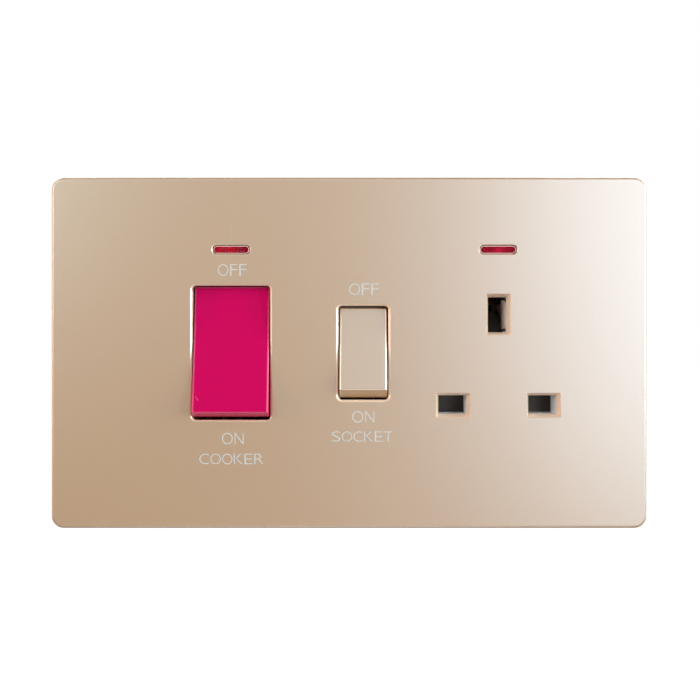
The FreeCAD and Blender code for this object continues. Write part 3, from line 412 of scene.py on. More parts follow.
# %% Helpers for materials
def shader_of(material):
    return material.node_tree.nodes["Principled BSDF"]


def begin_material(name):
    material = bpy.data.materials.new(name)
    material.use_nodes = True
    return material, material.node_tree, shader_of(material)


def set_plain(node, **values):
    """Sets plain values on a node's own sockets, such as Coat_Weight=1.0."""
    for label, value in values.items():
        node.inputs[label.replace("_", " ")].default_value = value


def place_group(tree, group, **values):
    node = tree.nodes.new("ShaderNodeGroup")
    node.node_tree = group
    set_plain(node, **values)
    return node.outputs


def blend_colour(tree, share, first, second):
    """Mixes two colours by a share; either colour may be a socket."""
    node = tree.nodes.new("ShaderNodeMix")
    node.data_type = "RGBA"
    tree.links.new(share, node.inputs[0])
    for slot, colour in zip(node.inputs[6:8], (first, second)):
        if isinstance(colour, tuple):
            slot.default_value = (*colour, 1.0)
        else:
            tree.links.new(colour, slot)
    return node.outputs[2]


def spread(tree, value, low, high):
    """Maps 0..1 to low..high."""
    node = tree.nodes.new("ShaderNodeMapRange")
    set_plain(node, To_Min=low, To_Max=high)
    tree.links.new(value, node.inputs["Value"])
    return node.outputs[0]


def add_bump(tree, shader, height, deep):
    """Bump of a depth in millimetres."""
    node = tree.nodes.new("ShaderNodeBump")
    set_plain(node, Distance=deep * MM)
    tree.links.new(height, node.inputs["Height"])
    tree.links.new(node.outputs["Normal"], shader.inputs["Normal"])


print("material helpers ready")

# %% [markdown]
# ### Two kinds of base finish, and what goes over them
# Nearly every piece is moulded or made of metal, so one function makes each kind. Scratches then
# lie over the base as wear does on the real thing, and painted highlights and painted shade on
# edges lie over it the same way, one layer on another.

# %% Base finishes
def moulded(name, light, dark, gloss, grain=6000.0, depth=0.004, cloud=60.0, specular=0.5):
    """Moulded plastic: two near tones, a range of gloss and the tool's skin."""
    material, tree, shader = begin_material(name)
    skin = place_group(tree, moulded_skin, Grain_per_metre=grain, Cloud_per_metre=cloud)
    tone = blend_colour(tree, skin["Cloud"], light, dark)
    tree.links.new(tone, shader.inputs["Base Color"])
    tree.links.new(spread(tree, skin["Cloud"], *gloss), shader.inputs["Roughness"])
    set_plain(shader, Specular_IOR_Level=specular)
    add_bump(tree, shader, skin["Height"], depth)
    return material


def metal(name, light, dark, gloss, across=(4000.0, 4000.0, 300.0), depth=0.003, bare=1.0):
    """Rolled, drawn or turned metal: lines one way and a slow stain."""
    material, tree, shader = begin_material(name)
    x, y, z = across
    marks = place_group(tree, rolled_sheet, Across_X=x, Across_Y=y, Across_Z=z)
    tone = blend_colour(tree, marks["Stain"], light, dark)
    tree.links.new(tone, shader.inputs["Base Color"])
    tree.links.new(spread(tree, marks["Lines"], *gloss), shader.inputs["Roughness"])
    set_plain(shader, Metallic=bare)
    add_bump(tree, shader, marks["Lines"], depth)
    return material


def lay_over(material, share, colour):
    """Lays a colour over what the material shows so far, as strongly as share says."""
    tree = material.node_tree
    base = shader_of(material).inputs["Base Color"]
    under = base.links[0].from_socket
    tree.links.new(blend_colour(tree, share, under, colour), base)


def scratch(material, start, end, width, strength, colour):
    """One hairline scratch between two points (x, z) of the front, in millimetres."""
    tree = material.node_tree
    line = place_group(
        tree, hairline, X1=start[0], Z1=start[1], X2=end[0], Z2=end[1], Width=width)
    lay_over(material, times(tree, line["Mask"], strength), colour)


def tint_edges(material, colour, **limits):
    """Tints the faces that lie between flat and upright."""
    edge = place_group(material.node_tree, slanted_edge, **limits)
    lay_over(material, edge["Mask"], colour)


print("base finishes ready")

# %% [markdown]
# ### Champagne lacquer
# The plate and the small rocker are moulded, then sprayed with a satin champagne lacquer.
# Its flakes only show close up, and its clear top gives the broad pale sheen to the right.
# A metal shader would turn dark between the lights, so it is a pale base under a strong coat.
# The cuts round the openings and the small rocker's rim carry a painted highlight, and the
# rocker's chin, the narrow face under its raised end, carries a warmer, darker painted shade. A
# faint scratch runs down to the cooker's lens.

# %% Champagne lacquer
CHAMPAGNE = (0.474, 0.264, 0.124)
CHAMPAGNE_DEEP = (0.450, 0.248, 0.114)
ROCKER_CHAMPAGNE = (0.490, 0.297, 0.166)
ROCKER_CHAMPAGNE_DEEP = (0.466, 0.278, 0.153)
# warmer, darker painted shade for the rocker's downward-facing chin
ROCKER_CHIN_PAINTED_SHADE = (0.495, 0.262, 0.095)
# painted highlight on the slanted cuts and rims, standing in for the light they catch
EDGE_PAINTED_HIGHLIGHT = (0.80, 0.55, 0.37)
FLAKE = (0.80, 0.68, 0.56)
FAINT_SCRATCH = (0.8, 0.75, 0.68)


def champagne(name, light, dark):
    """Lacquer over a moulding: a cloud of tone, fine flakes and a clear satin top."""
    material, tree, shader = begin_material(name)
    flake = place_group(tree, lacquer_flake)["Tone"]
    skin = place_group(tree, moulded_skin, Grain_per_metre=2600.0, Cloud_per_metre=26.0)
    slow = blend_colour(tree, skin["Cloud"], light, dark)
    fine = blend_colour(tree, spread(tree, flake, low=0.0, high=0.05), slow, FLAKE)
    tree.links.new(fine, shader.inputs["Base Color"])
    gloss = spread(tree, flake, low=0.40, high=0.46)
    tree.links.new(gloss, shader.inputs["Roughness"])
    set_plain(shader, Coat_Weight=1.0, Coat_Roughness=0.40, Coat_IOR=2.8)
    add_bump(tree, shader, skin["Height"], 0.002)
    return material


plate_champagne = champagne("plate_champagne", CHAMPAGNE, CHAMPAGNE_DEEP)
scratch(
    plate_champagne, (COOKER_X, 31.3), (COOKER_X, 27.4), width=0.16, strength=0.18,
    colour=FAINT_SCRATCH)
# The cuts round the openings get a painted highlight.
tint_edges(plate_champagne, EDGE_PAINTED_HIGHLIGHT)

rocker_champagne = champagne("rocker_champagne", ROCKER_CHAMPAGNE, ROCKER_CHAMPAGNE_DEEP)
# The chin gets a painted shade.
tint_edges(rocker_champagne, ROCKER_CHIN_PAINTED_SHADE, Flat_from=0.72, Upright_below=0.45)
# The rocker's rim gets the same painted highlight.
tint_edges(rocker_champagne, EDGE_PAINTED_HIGHLIGHT, Flat_from=0.985, Upright_below=0.70)
print("finish", plate_champagne.name, rocker_champagne.name)

# %% [markdown]
# ### Magenta rocker
# The cooker's rocker is moulded in a strong magenta so that it is found at a glance.
# The colour is in the plastic itself, so it has hardly any white sheen. Its rim carries a pale
# painted highlight, its chin a paler painted reflection, and it has one small scratch near its
# lower left corner.

# %% Magenta rocker
MAGENTA = (0.545, 0.0025, 0.083)
MAGENTA_DEEP = (0.515, 0.0020, 0.076)
# pale painted highlight on the magenta rocker's rounded rim
MAGENTA_RIM_PAINTED_HIGHLIGHT = (0.72, 0.085, 0.20)
# paler painted reflection on the magenta rocker's chin
MAGENTA_CHIN_PAINTED_REFLECTION = (0.67, 0.065, 0.138)
MAGENTA_SCRATCH = (0.75, 0.25, 0.40)
rocker_magenta = moulded(
    "rocker_magenta", MAGENTA, MAGENTA_DEEP, gloss=(0.20, 0.26),
    grain=4200.0, depth=0.002, cloud=70.0, specular=0.12)
scratch(
    rocker_magenta, (-37.3, -10.6), (-36.6, -11.5), width=0.09, strength=0.7,
    colour=MAGENTA_SCRATCH)
# The rim gets a painted highlight.
tint_edges(rocker_magenta, MAGENTA_RIM_PAINTED_HIGHLIGHT, Flat_from=0.985, Upright_below=0.55)
# The chin gets a painted reflection.
tint_edges(rocker_magenta, MAGENTA_CHIN_PAINTED_REFLECTION, Flat_from=0.60, Upright_below=0.25)
print("finish", rocker_magenta.name)

# %% [markdown]
# ### Mouldings behind the plate
# The mounting frame is a very light grey moulding, the body a warm white one, the shutter a
# dark one that slides easily, and the plungers are nylon, which lets a little light in. The
# light tone comes first, then the dark one.

# %% Mouldings behind the plate
frame_grey = moulded(
    "frame_grey", (0.96, 0.91, 0.89), (0.91, 0.86, 0.84), gloss=(0.42, 0.55))
body_white = moulded(
    "body_white", (0.74, 0.72, 0.67), (0.68, 0.66, 0.61), gloss=(0.28, 0.42), cloud=45.0)
shutter_dark = moulded(
    "shutter_dark", (0.078, 0.064, 0.048), (0.062, 0.051, 0.038), gloss=(0.5, 0.65),
    specular=0.25)
plunger_nylon = moulded(
    "plunger_nylon", (0.72, 0.68, 0.58), (0.64, 0.60, 0.50), gloss=(0.3, 0.4))
set_plain(shader_of(plunger_nylon), Subsurface_Weight=0.3, Subsurface_Scale=1.0 * MM)
lead_sleeve = moulded(
    "lead_sleeve", (0.42, 0.42, 0.40), (0.34, 0.34, 0.33), gloss=(0.4, 0.5), grain=9000.0)
print("finish frame, body, shutter, plunger, lead")

# %% [markdown]
# ### Brass, silver and steel
# Contacts and links are stamped from rolled brass, so their lines run along the strip.
# The clamp blocks are sawn from drawn bar. Screws are steel with a thin zinc coat, and the
# contact buttons are silver, dulled a little. The earth contact's right tongue is a pale, only
# slightly metallic brass that stands in for the light reaching it deep in the slot, so it is
# partly painted light. Left of it a dark painted shade lies over the brass.

# %% Brass, silver and steel
contact_brass = metal(
    "contact_brass", (0.62, 0.38, 0.25), (0.46, 0.27, 0.17), gloss=(0.32, 0.5), bare=0.6)
terminal_brass = metal(
    "terminal_brass", (0.74, 0.52, 0.23), (0.60, 0.40, 0.17), gloss=(0.18, 0.36),
    across=(3200.0, 3200.0, 220.0))
contact_silver = metal(
    "contact_silver", (0.82, 0.81, 0.78), (0.60, 0.58, 0.54), gloss=(0.2, 0.35))
spring_steel = metal(
    "spring_steel", (0.50, 0.50, 0.50), (0.36, 0.35, 0.34), gloss=(0.22, 0.38))
screw_steel = metal(
    "screw_steel", (0.66, 0.66, 0.64), (0.50, 0.49, 0.45), gloss=(0.2, 0.4),
    across=(2600.0, 500.0, 2600.0))
# The tongue's pale tone and low metal are partly painted light.
earth_brass_painted_light = metal(
    "earth_brass_painted_light", (0.95, 0.72, 0.60), (0.76, 0.50, 0.41), gloss=(0.3, 0.5),
    across=(4000.0, 300.0, 4000.0), depth=0.004, bare=0.1)

# Left of the tongue the brass gets a dark painted shade, where the slot lies deep.
LEFT_LEAF_PAINTED_SHADE = (0.10, 0.055, 0.04)
PAINTED_SHADE_ENDS_AT = 39.0  # the tongue begins right of this line, in millimetres
tree = earth_brass_painted_light.node_tree
lay_over(earth_brass_painted_light, minus(tree, PAINTED_SHADE_ENDS_AT, along_axis(tree, "X"), clamp=True), LEFT_LEAF_PAINTED_SHADE)
print("finish brass, silver, steel")

# %% [markdown]
# ### Neon parts
# Each indicator is a small neon lamp behind a red lens, with a resistor in its lead. The lens is
# red acrylic, deep at its ends. Over the lamp it carries a painted glow, standing in for light
# that comes through it, with painted glints where a prism catches the light and a pale painted
# highlight on its rim. Nothing of the lamp can be made out through so small and deep a lens, so
# the light through it is a tone that falls off with the distance from the lamp.

# %% Neon parts
LAMP_REACH = 3.6  # half the length of the painted bright stretch, in millimetres
LENS_DEEP = (0.20, 0.0012, 0.009)
# colour of the painted glints on the lens prisms
LENS_PAINTED_GLINT = (0.85, 0.22, 0.26)


def lens_finish(name, centre, painted_glow_colour):
    """Red acrylic with a painted glow, brighter near the middle of its lamp, and painted glints.
    """
    material, tree, shader = begin_material(name)
    off = maths(tree, "ABSOLUTE", minus(tree, along_axis(tree, "X"), centre))
    near = minus(tree, 1.0, maths(tree, "DIVIDE", off, LAMP_REACH), clamp=True)
    skin = place_group(tree, moulded_skin, Grain_per_metre=900.0, Cloud_per_metre=420.0)
    cloud = rise(tree, skin["Cloud"], start=0.42, gain=4.0)
    # The painted glow: a tone that is brighter near the lamp and mottled by the cloud.
    glow = times(tree, near, spread(tree, cloud, low=0.15, high=1.1), clamp=True)
    tone = blend_colour(tree, glow, LENS_DEEP, painted_glow_colour)
    tree.links.new(tone, shader.inputs["Base Color"])
    grain = noise(tree, object_place(tree), scale=3000.0, detail=0.0)
    # Painted glints are scattered over the lens.
    lay_over(material, rise(tree, grain, start=0.72, gain=7.0), LENS_PAINTED_GLINT)
    set_plain(shader, Roughness=0.25, IOR=1.49, Specular_IOR_Level=0.08)
    add_bump(tree, shader, skin["Height"], 0.01)
    return material


# The lens rim's pale tone is a painted highlight.
lens_rim_painted_highlight = moulded(
    "lens_rim_painted_highlight", (0.80, 0.52, 0.44), (0.70, 0.42, 0.36), gloss=(0.15, 0.25), cloud=300.0)
lens_red = lens_finish("lens_red", COOKER_X - 1.2, (0.50, 0.004, 0.014))
lens_red_right = lens_finish("lens_red_right", SOCKET_X, (0.46, 0.006, 0.035))
lamp_glass = moulded(
    "lamp_glass", (0.80, 0.78, 0.74), (0.72, 0.69, 0.64), gloss=(0.04, 0.09))
set_plain(shader_of(lamp_glass), Transmission_Weight=0.6)
resistor_body = moulded(
    "resistor_body", (0.55, 0.42, 0.27), (0.48, 0.36, 0.23), gloss=(0.4, 0.5))
print("finish", lens_red.name, lens_red_right.name, lamp_glass.name, resistor_body.name)

# %% [markdown]
# ### Finishes onto the frame
# Each CAD piece carries a slot name from the record, and each finish is named after its slot.
# The frame's plain materials have those names too, so Blender adds .001 to a finish's name.
# One loop gives every piece its finish, and stops if a slot has none.

# %% Finishes onto the frame
finishes = (
    plate_champagne, rocker_champagne, rocker_magenta, frame_grey, body_white, shutter_dark,
    plunger_nylon, lead_sleeve, contact_brass, terminal_brass, contact_silver, spring_steel,
    screw_steel, lens_red, lamp_glass, resistor_body)
by_slot = {finish.name.split(".")[0]: finish for finish in finishes}
for row in frame["record"]["subparts"]:
    piece = nodes[row["node"]]
    piece.data.materials.clear()
    piece.data.materials.append(by_slot[row["material_slot"]])

# %% [markdown]
# ## Legends
# The words are printed in a pale ink, thin and slightly proud. An image of them would blur
# close up, so each letter is a text object that is turned into a mesh, fitted to its own
# width, and set at its own step along the line, as the plain sans of such plates has them.

# %% Legend ink and letters
legend_ink = moulded(
    "legend_ink", (0.59, 0.545, 0.50), (0.53, 0.49, 0.45), gloss=(0.5, 0.62),
    grain=5000.0, depth=0.002)
PLATE_FACE = -9.0 * MM
INK = 0.02 * MM
STROKE_SLIMMED = -0.016
STEP = {"O": 0.78, "F": 0.61, "N": 0.72, "C": 0.72, "K": 0.67,
        "E": 0.67, "R": 0.72, "S": 0.67, "T": 0.61}
BODY = {"O": 0.69, "F": 0.49, "N": 0.57, "C": 0.64, "K": 0.58,
        "E": 0.54, "R": 0.62, "S": 0.58, "T": 0.57}


def cut_letter(letter, offset):
    """One letter of the built-in face as a mesh that fills a unit cube, unplaced."""
    clear_selection()
    bpy.ops.object.text_add(location=(0, 0, 0))
    text = bpy.context.object
    text.data.body = letter
    text.data.extrude = 0.02
    text.data.offset = offset
    text.data.resolution_u = 6
    bpy.ops.object.convert(target="MESH")
    piece = bpy.context.object
    points = piece.data.vertices
    low = [min(p.co[i] for p in points) for i in range(3)]
    high = [max(p.co[i] for p in points) for i in range(3)]
    for point in points:
        point.co = Vector([(point.co[i] - low[i]) / (high[i] - low[i]) for i in range(3)])
    return piece


def side_gap(letter):
    """The free space on either side of a letter, within its step."""
    return (STEP[letter] - BODY[letter]) / 2


def print_word(name, word, x, z, height, width):
    """Sets a word letter by letter, centred on x, z. All sizes are in millimetres."""
    run = sum(STEP[letter] for letter in word) - side_gap(word[0]) - side_gap(word[-1])
    unit = width / run
    left = x - width / 2 - side_gap(word[0]) * unit
    letters = []
    for letter in word:
        piece = cut_letter(letter, STROKE_SLIMMED)
        start = left + side_gap(letter) * unit
        for point in piece.data.vertices:
            across = start + point.co.x * BODY[letter] * unit
            up = z + (point.co.y - 0.5) * height
            point.co = Vector((across * MM, PLATE_FACE - point.co.z * INK, up * MM))
        letters.append(piece)
        left += STEP[letter] * unit
    whole = join_pieces(letters, name)
    whole.data.materials.append(legend_ink)
    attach(whole, "unit")
    return whole


print("letters", len(STEP))

# %% [markdown]
# ### The six words
# OFF stands over each rocker and ON under it, with what it switches on the line below.

# %% The six words
# Each row is (name, word, x, z, height, width), in millimetres on the plate.
LEGENDS = (
    ("legend_cooker_off", "OFF", -28.6, 20.3, 2.9, 7.1),
    ("legend_cooker_on", "ON", -28.5, -21.0, 2.8, 5.3),
    ("legend_cooker", "COOKER", -28.8, -26.0, 2.55, 15.7),
    ("legend_socket_off", "OFF", 3.7, 15.6, 2.8, 7.3),
    ("legend_socket_on", "ON", 3.5, -15.7, 2.8, 5.4),
    ("legend_socket", "SOCKET", 3.2, -20.5, 2.5, 14.9),
)
for row in LEGENDS:
    word = print_word(*row)
    print(word.name, "faces", len(word.data.polygons))

# %% [markdown]
# ## Neon lenses
# The real lens is a red acrylic bar with a flange behind the frame and rows of small prisms
# that scatter the glow. It grows from a flange block: an inset face is drawn out to the front
# and another to the back, the corners are rounded, and the front is sliced into cells whose
# middles are pushed in. Bump alone would leave the prisms flat from the side.

# %% Lens bar and flange
LENS_WIDE, LENS_HIGH = 8.9 * MM, 2.0 * MM
LENS_FRONT, LENS_TAIL = -8.7 * MM, -1.8 * MM
FLANGE_WIDE, FLANGE_HIGH = 12.0 * MM, 5.2 * MM
FLANGE_FRONT, FLANGE_BACK = -5.0 * MM, -3.9 * MM
FLANGE_STEP = 1.55 * MM
LENS_CORNER = 0.95 * MM


def build_lens(name, x, z):
    """The flange block with its bar drawn out both ways and its long edges rounded."""
    centre = (x, (FLANGE_FRONT + FLANGE_BACK) / 2, z)
    piece = begin_block(name, (FLANGE_WIDE, FLANGE_BACK - FLANGE_FRONT, FLANGE_HIGH), centre)
    to_wide = LENS_WIDE / (FLANGE_WIDE - 2 * FLANGE_STEP)
    to_high = LENS_HIGH / (FLANGE_HIGH - 2 * FLANGE_STEP)
    for look, end in ((-1, LENS_FRONT - FLANGE_FRONT), (1, LENS_TAIL - FLANGE_BACK)):
        pick_faces(piece, lambda c, n: n.y * look > FACING)
        bpy.ops.mesh.inset(thickness=FLANGE_STEP)
        bpy.ops.transform.resize(value=(to_wide, 1, to_high))
        extrude((0, end, 0))
        leave_edit()
    longer = 1.5 * MM
    round_edges(piece, lambda a, b: abs(a.y - b.y) > longer, LENS_CORNER, segments=7)
    return piece


print("lens bar", round(LENS_WIDE / MM, 1), "x", round(LENS_HIGH / MM, 1))

# %% [markdown]
# ### Prisms
# Bisect cuts the front into a grid, and two insets of each cell leave a thin wall between
# cells and slope their floors. The cells at the two ends have round corners and stay plain.

# %% Lens prisms
PRISM_WIDE = 0.7 * MM
PRISM_WALL = 0.03 * MM
PRISM_SLOPE = 0.2 * MM
PRISM_DEEP = 0.06 * MM
PRISM_CUTS = range(-5, 6)
PRISM_REACH_X, PRISM_REACH_Z = 3.6 * MM, 0.6 * MM
FRONT_EASE = 0.22 * MM
FRONT_BORDER = 0.08 * MM


def cut_prisms(piece, x, z):
    """Slices the front into cells and pushes the middle of each one in."""
    front = lambda c, n: n.y < -FACING and c.y < LENS_FRONT + HAIR
    at_front = lambda a, b: max(a.y, b.y) < LENS_FRONT + HAIR
    round_edges(piece, at_front, FRONT_EASE, segments=2)
    pick_faces(piece, front)
    bpy.ops.mesh.inset(thickness=FRONT_BORDER)
    for step in PRISM_CUTS:
        slice_faces(piece, front, (x + step * PRISM_WIDE, 0, z), (1, 0, 0))
    slice_faces(piece, front, (x, 0, z), (0, 0, 1))
    count = pick_faces(piece, lambda c, n: (
        front(c, n) and abs(c.x - x) < PRISM_REACH_X and abs(c.z - z) < PRISM_REACH_Z))
    bpy.ops.mesh.inset(thickness=PRISM_WALL, use_individual=True)
    bpy.ops.mesh.inset(thickness=PRISM_SLOPE, depth=-PRISM_DEEP, use_individual=True)
    leave_edit()
    return count


print("prism", round(PRISM_WIDE / MM, 2), "wide,", round(PRISM_DEEP / MM, 2), "deep")

# %% [markdown]
# ### Both lenses
# The two lenses come from one tool, so the second is a copy of the first with its own mesh.
# Each stands where its CAD lens is, which is hidden and stays for collision. The slanted faces
# round the front get the rim's pale painted highlight.

# %% Both lenses
RIM_LOOKS = (-0.95, -0.2)  # how far a slanted face looks to the front, at most and at least
first = None
for node, finish in (("cooker_lens", lens_red), ("socket_lens", lens_red_right)):
    low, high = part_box(node)
    x, z = (low[0] + high[0]) / 2, (low[2] + high[2]) / 2
    if first:
        piece = copy_piece(first, (x - x0, 0, z - z0))
        piece.name = node + "_acrylic"
        piece.data.materials.clear()
    else:
        piece = first = build_lens(node + "_acrylic", x, z)
        x0, z0 = x, z
        print("prisms", cut_prisms(first, x, z))
    piece.data.materials.append(finish)
    piece.data.materials.append(lens_rim_painted_highlight)
    for face in piece.data.polygons:
        slanted = RIM_LOOKS[0] < face.normal.y < RIM_LOOKS[1]
        at_front = face.center.y < LENS_FRONT + FRONT_EASE - HAIR
        face.material_index = int(slanted and at_front)
    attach(piece, "unit")
    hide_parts(node)
    print(piece.name, "faces", len(piece.data.polygons))

# %% [markdown]
# ## Earth contact
# Through the upright slot one sees a brass leaf. The real contact is pressed from one strip:
# a back with two springy leaves, the right one drawn forward into a tongue that bows towards
# the pin. It is grown from its back, strip by strip, and the bow is made by shifted steps,
# as a press leaves short straight runs between its bends.

# %% Earth contact
BACK_SIZE = (6.4 * MM, 1.0 * MM, 6.0 * MM)
BACK_PLACE = (SOCKET_X * MM, 14.7 * MM, 9.4 * MM)
LEAF_INNER = 2.4 * MM
LEAF_EASE = 0.14 * MM
# Each draw is (forward, outward, height ratio), in millimetres.
LEAF_DRAWS = ((5.8, -0.6, 1.0), (2.0, 0.9, 1.0))
TONGUE_DRAWS = (
    (6.0, 0.0, 1.2), (0.5, -0.45, 1.02), (0.7, -0.45, 1.0), (1.4, 0.0, 1.0),
    (0.6, 0.2, 0.97), (1.1, 0.5, 0.9), (0.4, 0.0, 0.85))


def draw_forward(draws, side):
    """Draws the picked end forward step by step; side 1 is right, -1 is left."""
    for forward, outward, tall in draws:
        extrude((side * outward * MM, -forward * MM, 0))
        bpy.ops.transform.resize(value=(1, 1, tall))
    leave_edit()


def build_earth_contact():
    centre = SOCKET_X * MM
    piece = begin_block("earth_contact_leaves", BACK_SIZE, BACK_PLACE)
    for side in (-1, 1):
        slice_faces(piece, lambda c, n: True, (centre + side * LEAF_INNER, 0, 0), (1, 0, 0))
    for side in (-1, 1):
        pick_faces(piece, lambda c, n: n.y < -FACING and side * (c.x - centre) > LEAF_INNER)
        draw_forward(LEAF_DRAWS, side)
    leaf_end, tongue_root = 6.5 * MM, 6.0 * MM
    pick_faces(piece, lambda c, n: n.y < -FACING and c.x > centre and c.y < leaf_end)
    draw_forward(TONGUE_DRAWS, 1)
    round_edges(piece, lambda a, b: (a.y + b.y) / 2 < tongue_root, LEAF_EASE, segments=2)
    return piece


leaves = build_earth_contact()
leaves.data.materials.append(earth_brass_painted_light)
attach(leaves, "unit")
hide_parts("earth_contact")
print("tongue's tip at y", round(min(v.co.y for v in leaves.data.vertices) / MM, 2))

# %% [markdown]
# ## Screws
# A real screw is turned from bar. Here one is turned from a disc: the rim is rounded, and the
# underside is inset to the shank and drawn out in small steps for the thread, as a true helix
# would cost thousands of faces where nobody sees them. The screw is copied to its other
# places, and only then is each head sawn, at its own turn, since no two stop alike.

# %% Turn one screw
THREAD_PITCH = 0.8 * MM
THREAD_CORE = 0.9


def turn_screw(x, z, shank, head, tip, seat, tall, rim, sides=40):
    """A screw that points to -Y, its head from seat to seat + tall, in millimetres."""
    tall, top = tall * MM, seat * MM + tall * MM
    length = seat * MM - tip * MM
    middle = (x * MM, seat * MM + tall / 2, z * MM)
    piece = begin_disc("screw", head * MM, tall, middle, sides)
    round_edges(piece, lambda a, b: min(a.y, b.y) > top - HAIR, rim * MM, segments=4)
    pick_faces(piece, lambda c, n: n.y < -FACING)
    bpy.ops.mesh.inset(thickness=(head - shank) * MM)
    rings = int(length / THREAD_PITCH)
    for ring in range(rings):
        crest = 1.0 if ring == rings - 1 else 1.0 / THREAD_CORE
        for grow in (THREAD_CORE, crest):
            extrude((0, -length / rings / 2, 0))
            bpy.ops.transform.resize(value=(grow, 1, grow))
    leave_edit()
    return piece


print("thread pitch", round(THREAD_PITCH / MM, 2))


# %% Saw and fit screws
SMOOTH_BELOW = math.radians(32)


def saw_slot(piece, centre, long, deep, wide, turned):
    """Saws a straight slot across the head, in millimetres and radians."""
    saw = begin_block("saw", (long * MM, 2 * deep * MM, wide * MM), centre)
    pick_faces(saw, lambda c, n: True)
    bpy.ops.transform.rotate(value=turned, orient_axis="Y", center_override=centre)
    leave_edit()
    cut_with(piece, saw)


def fit_screws(name, node, places, sizes, slot, turns, cuts=(0.0,)):
    """One screw turned, copied to all places and sawn, for the CAD screws of a node."""
    x0, z0 = places[0]
    screws = [turn_screw(x0, z0, **sizes)]
    for x, z in places[1:]:
        screws.append(copy_piece(screws[0], ((x - x0) * MM, 0, (z - z0) * MM)))
    top = sizes["seat"] * MM + sizes["tall"] * MM
    for screw, (x, z), turned in zip(screws, places, turns):
        for cut in cuts:
            saw_slot(screw, (x * MM, top, z * MM), *slot, turned + cut)
    whole = join_pieces(screws, name)
    bpy.ops.object.shade_smooth_by_angle(angle=SMOOTH_BELOW)
    whole.data.materials.append(screw_steel)
    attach(whole, "unit")
    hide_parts(node)
    print(name, "screws", len(screws), "faces", len(whole.data.polygons))


print("screws are smooth below", round(math.degrees(SMOOTH_BELOW)), "degrees")

# %% [markdown]
# ### Clamp screws
# Six cheese-head screws clamp the cables, four for line and neutral and two for earth. A
# plain sawn slot takes a flat driver.

# %% Clamp screws
CLAMP_SLOT = (10.0, 1.1, 0.9)  # (long, deep, wide); the saw runs out past the head
fit_screws(
    "clamp_screws", "terminal_screws",
    places=((-37.6, 22.25), (-37.6, -22.25), (-20.2, 22.25), (-20.2, -22.25)),
    sizes={"shank": 2.4, "head": 3.2, "tip": 16.7, "seat": 19.6, "tall": 2.7, "rim": 0.35},
    slot=CLAMP_SLOT, turns=(0.35, 1.15, 1.95, 2.75))
fit_screws(
    "earth_clamp_screws", "earth_terminal_screws",
    places=((39.0, 22.75), (-4.95, -22.75)),
    sizes={"shank": 1.9, "head": 2.9, "tip": 16.8, "seat": 19.6, "tall": 2.7, "rim": 0.3},
    slot=CLAMP_SLOT, turns=(1.2, 2.1))

# %% [markdown]
# ### Case screws
# Four long screws at the bottom of deep wells hold the body to the frame. They have a rounded
# head and a cross recess, sawn twice at right angles.

# %% Case screws
CROSS_SLOT = (3.0, 1.1, 0.6)
CROSS_CUTS = (0.0, math.pi / 2)
fit_screws(
    "case_cross_screws", "case_screws",
    places=((-48.6, -26.1), (-48.6, 26.1), (48.6, -26.1), (48.6, 26.1)),
    sizes={"shank": 1.4, "head": 2.5, "tip": -3.9, "seat": 8.0, "tall": 2.2, "rim": 0.9,
           "sides": 32},
    slot=CROSS_SLOT, turns=(0.3, 0.8, 1.3, 1.8), cuts=CROSS_CUTS)

# %% [markdown]
# ## Marks on the back
# A fitter needs to see which clamp is which, so the body has L, N and the earth sign moulded
# in low relief beside its clamps. They read from behind, so left and right are swapped. The
# sign is built from bars, as no letter of the built-in face has its shape.

# %% Marks on the back
BACK_FACE = 21.5 * MM
RELIEF = 0.2 * MM
SUNK = 0.2  # share of the relief that lies below the face, so no gap shows
BAR_EASE = 0.06 * MM
LETTER_HIGH = 2.8
# Each bar of the earth sign is (x, z, wide, tall) from the sign's middle, in millimetres.
EARTH_BARS = (
    (0.0, 1.1, 0.36, 1.6), (0.0, 0.2, 2.6, 0.36), (0.0, -0.5, 1.7, 0.36), (0.0, -1.2, 0.8, 0.36))


def mould_letter(letter, x, z, width):
    piece = cut_letter(letter, 0.0)
    for point in piece.data.vertices:
        across = x - (point.co.x - 0.5) * width
        up = z + (point.co.y - 0.5) * LETTER_HIGH
        proud = point.co.z * (1 + SUNK) - SUNK
        point.co = Vector((across * MM, BACK_FACE + proud * RELIEF, up * MM))
    return piece


def mould_earth_sign(x, z):
    """A stem and three bars that get shorter, each from its own block with eased edges."""
    blocks = []
    for dx, dz, wide, tall in EARTH_BARS:
        centre = ((x + dx) * MM, BACK_FACE + (1 - SUNK) / 2 * RELIEF, (z + dz) * MM)
        bar = begin_block("bar", (wide * MM, (1 + SUNK) * RELIEF, tall * MM), centre)
        outer = BACK_FACE + RELIEF / 2
        round_edges(bar, lambda a, b: min(a.y, b.y) > outer, BAR_EASE, segments=2)
        blocks.append(bar)
    return blocks


marks = []
for x, letter, wide in ((-37.6, "N", 2.2), (-20.2, "L", 1.7)):
    for z in (15.6, -15.6):
        marks.append(mould_letter(letter, x, z, wide))
for x, z in ((39.0, 16.2), (-4.95, -16.2)):
    marks += mould_earth_sign(x, z)
count = len(marks)
marks = join_pieces(marks, "terminal_marks")
marks.data.materials.append(body_white)
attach(marks, "unit")
print("marks joined", count)

# %% [markdown]
# ## Light, floor and camera
# The unit is seen in a plain white room. The floor is white to the eye but gives off and
# blocks no light, so the panel that stands below it still reaches the unit. The room itself
# adds a very weak light, a little stronger from above.

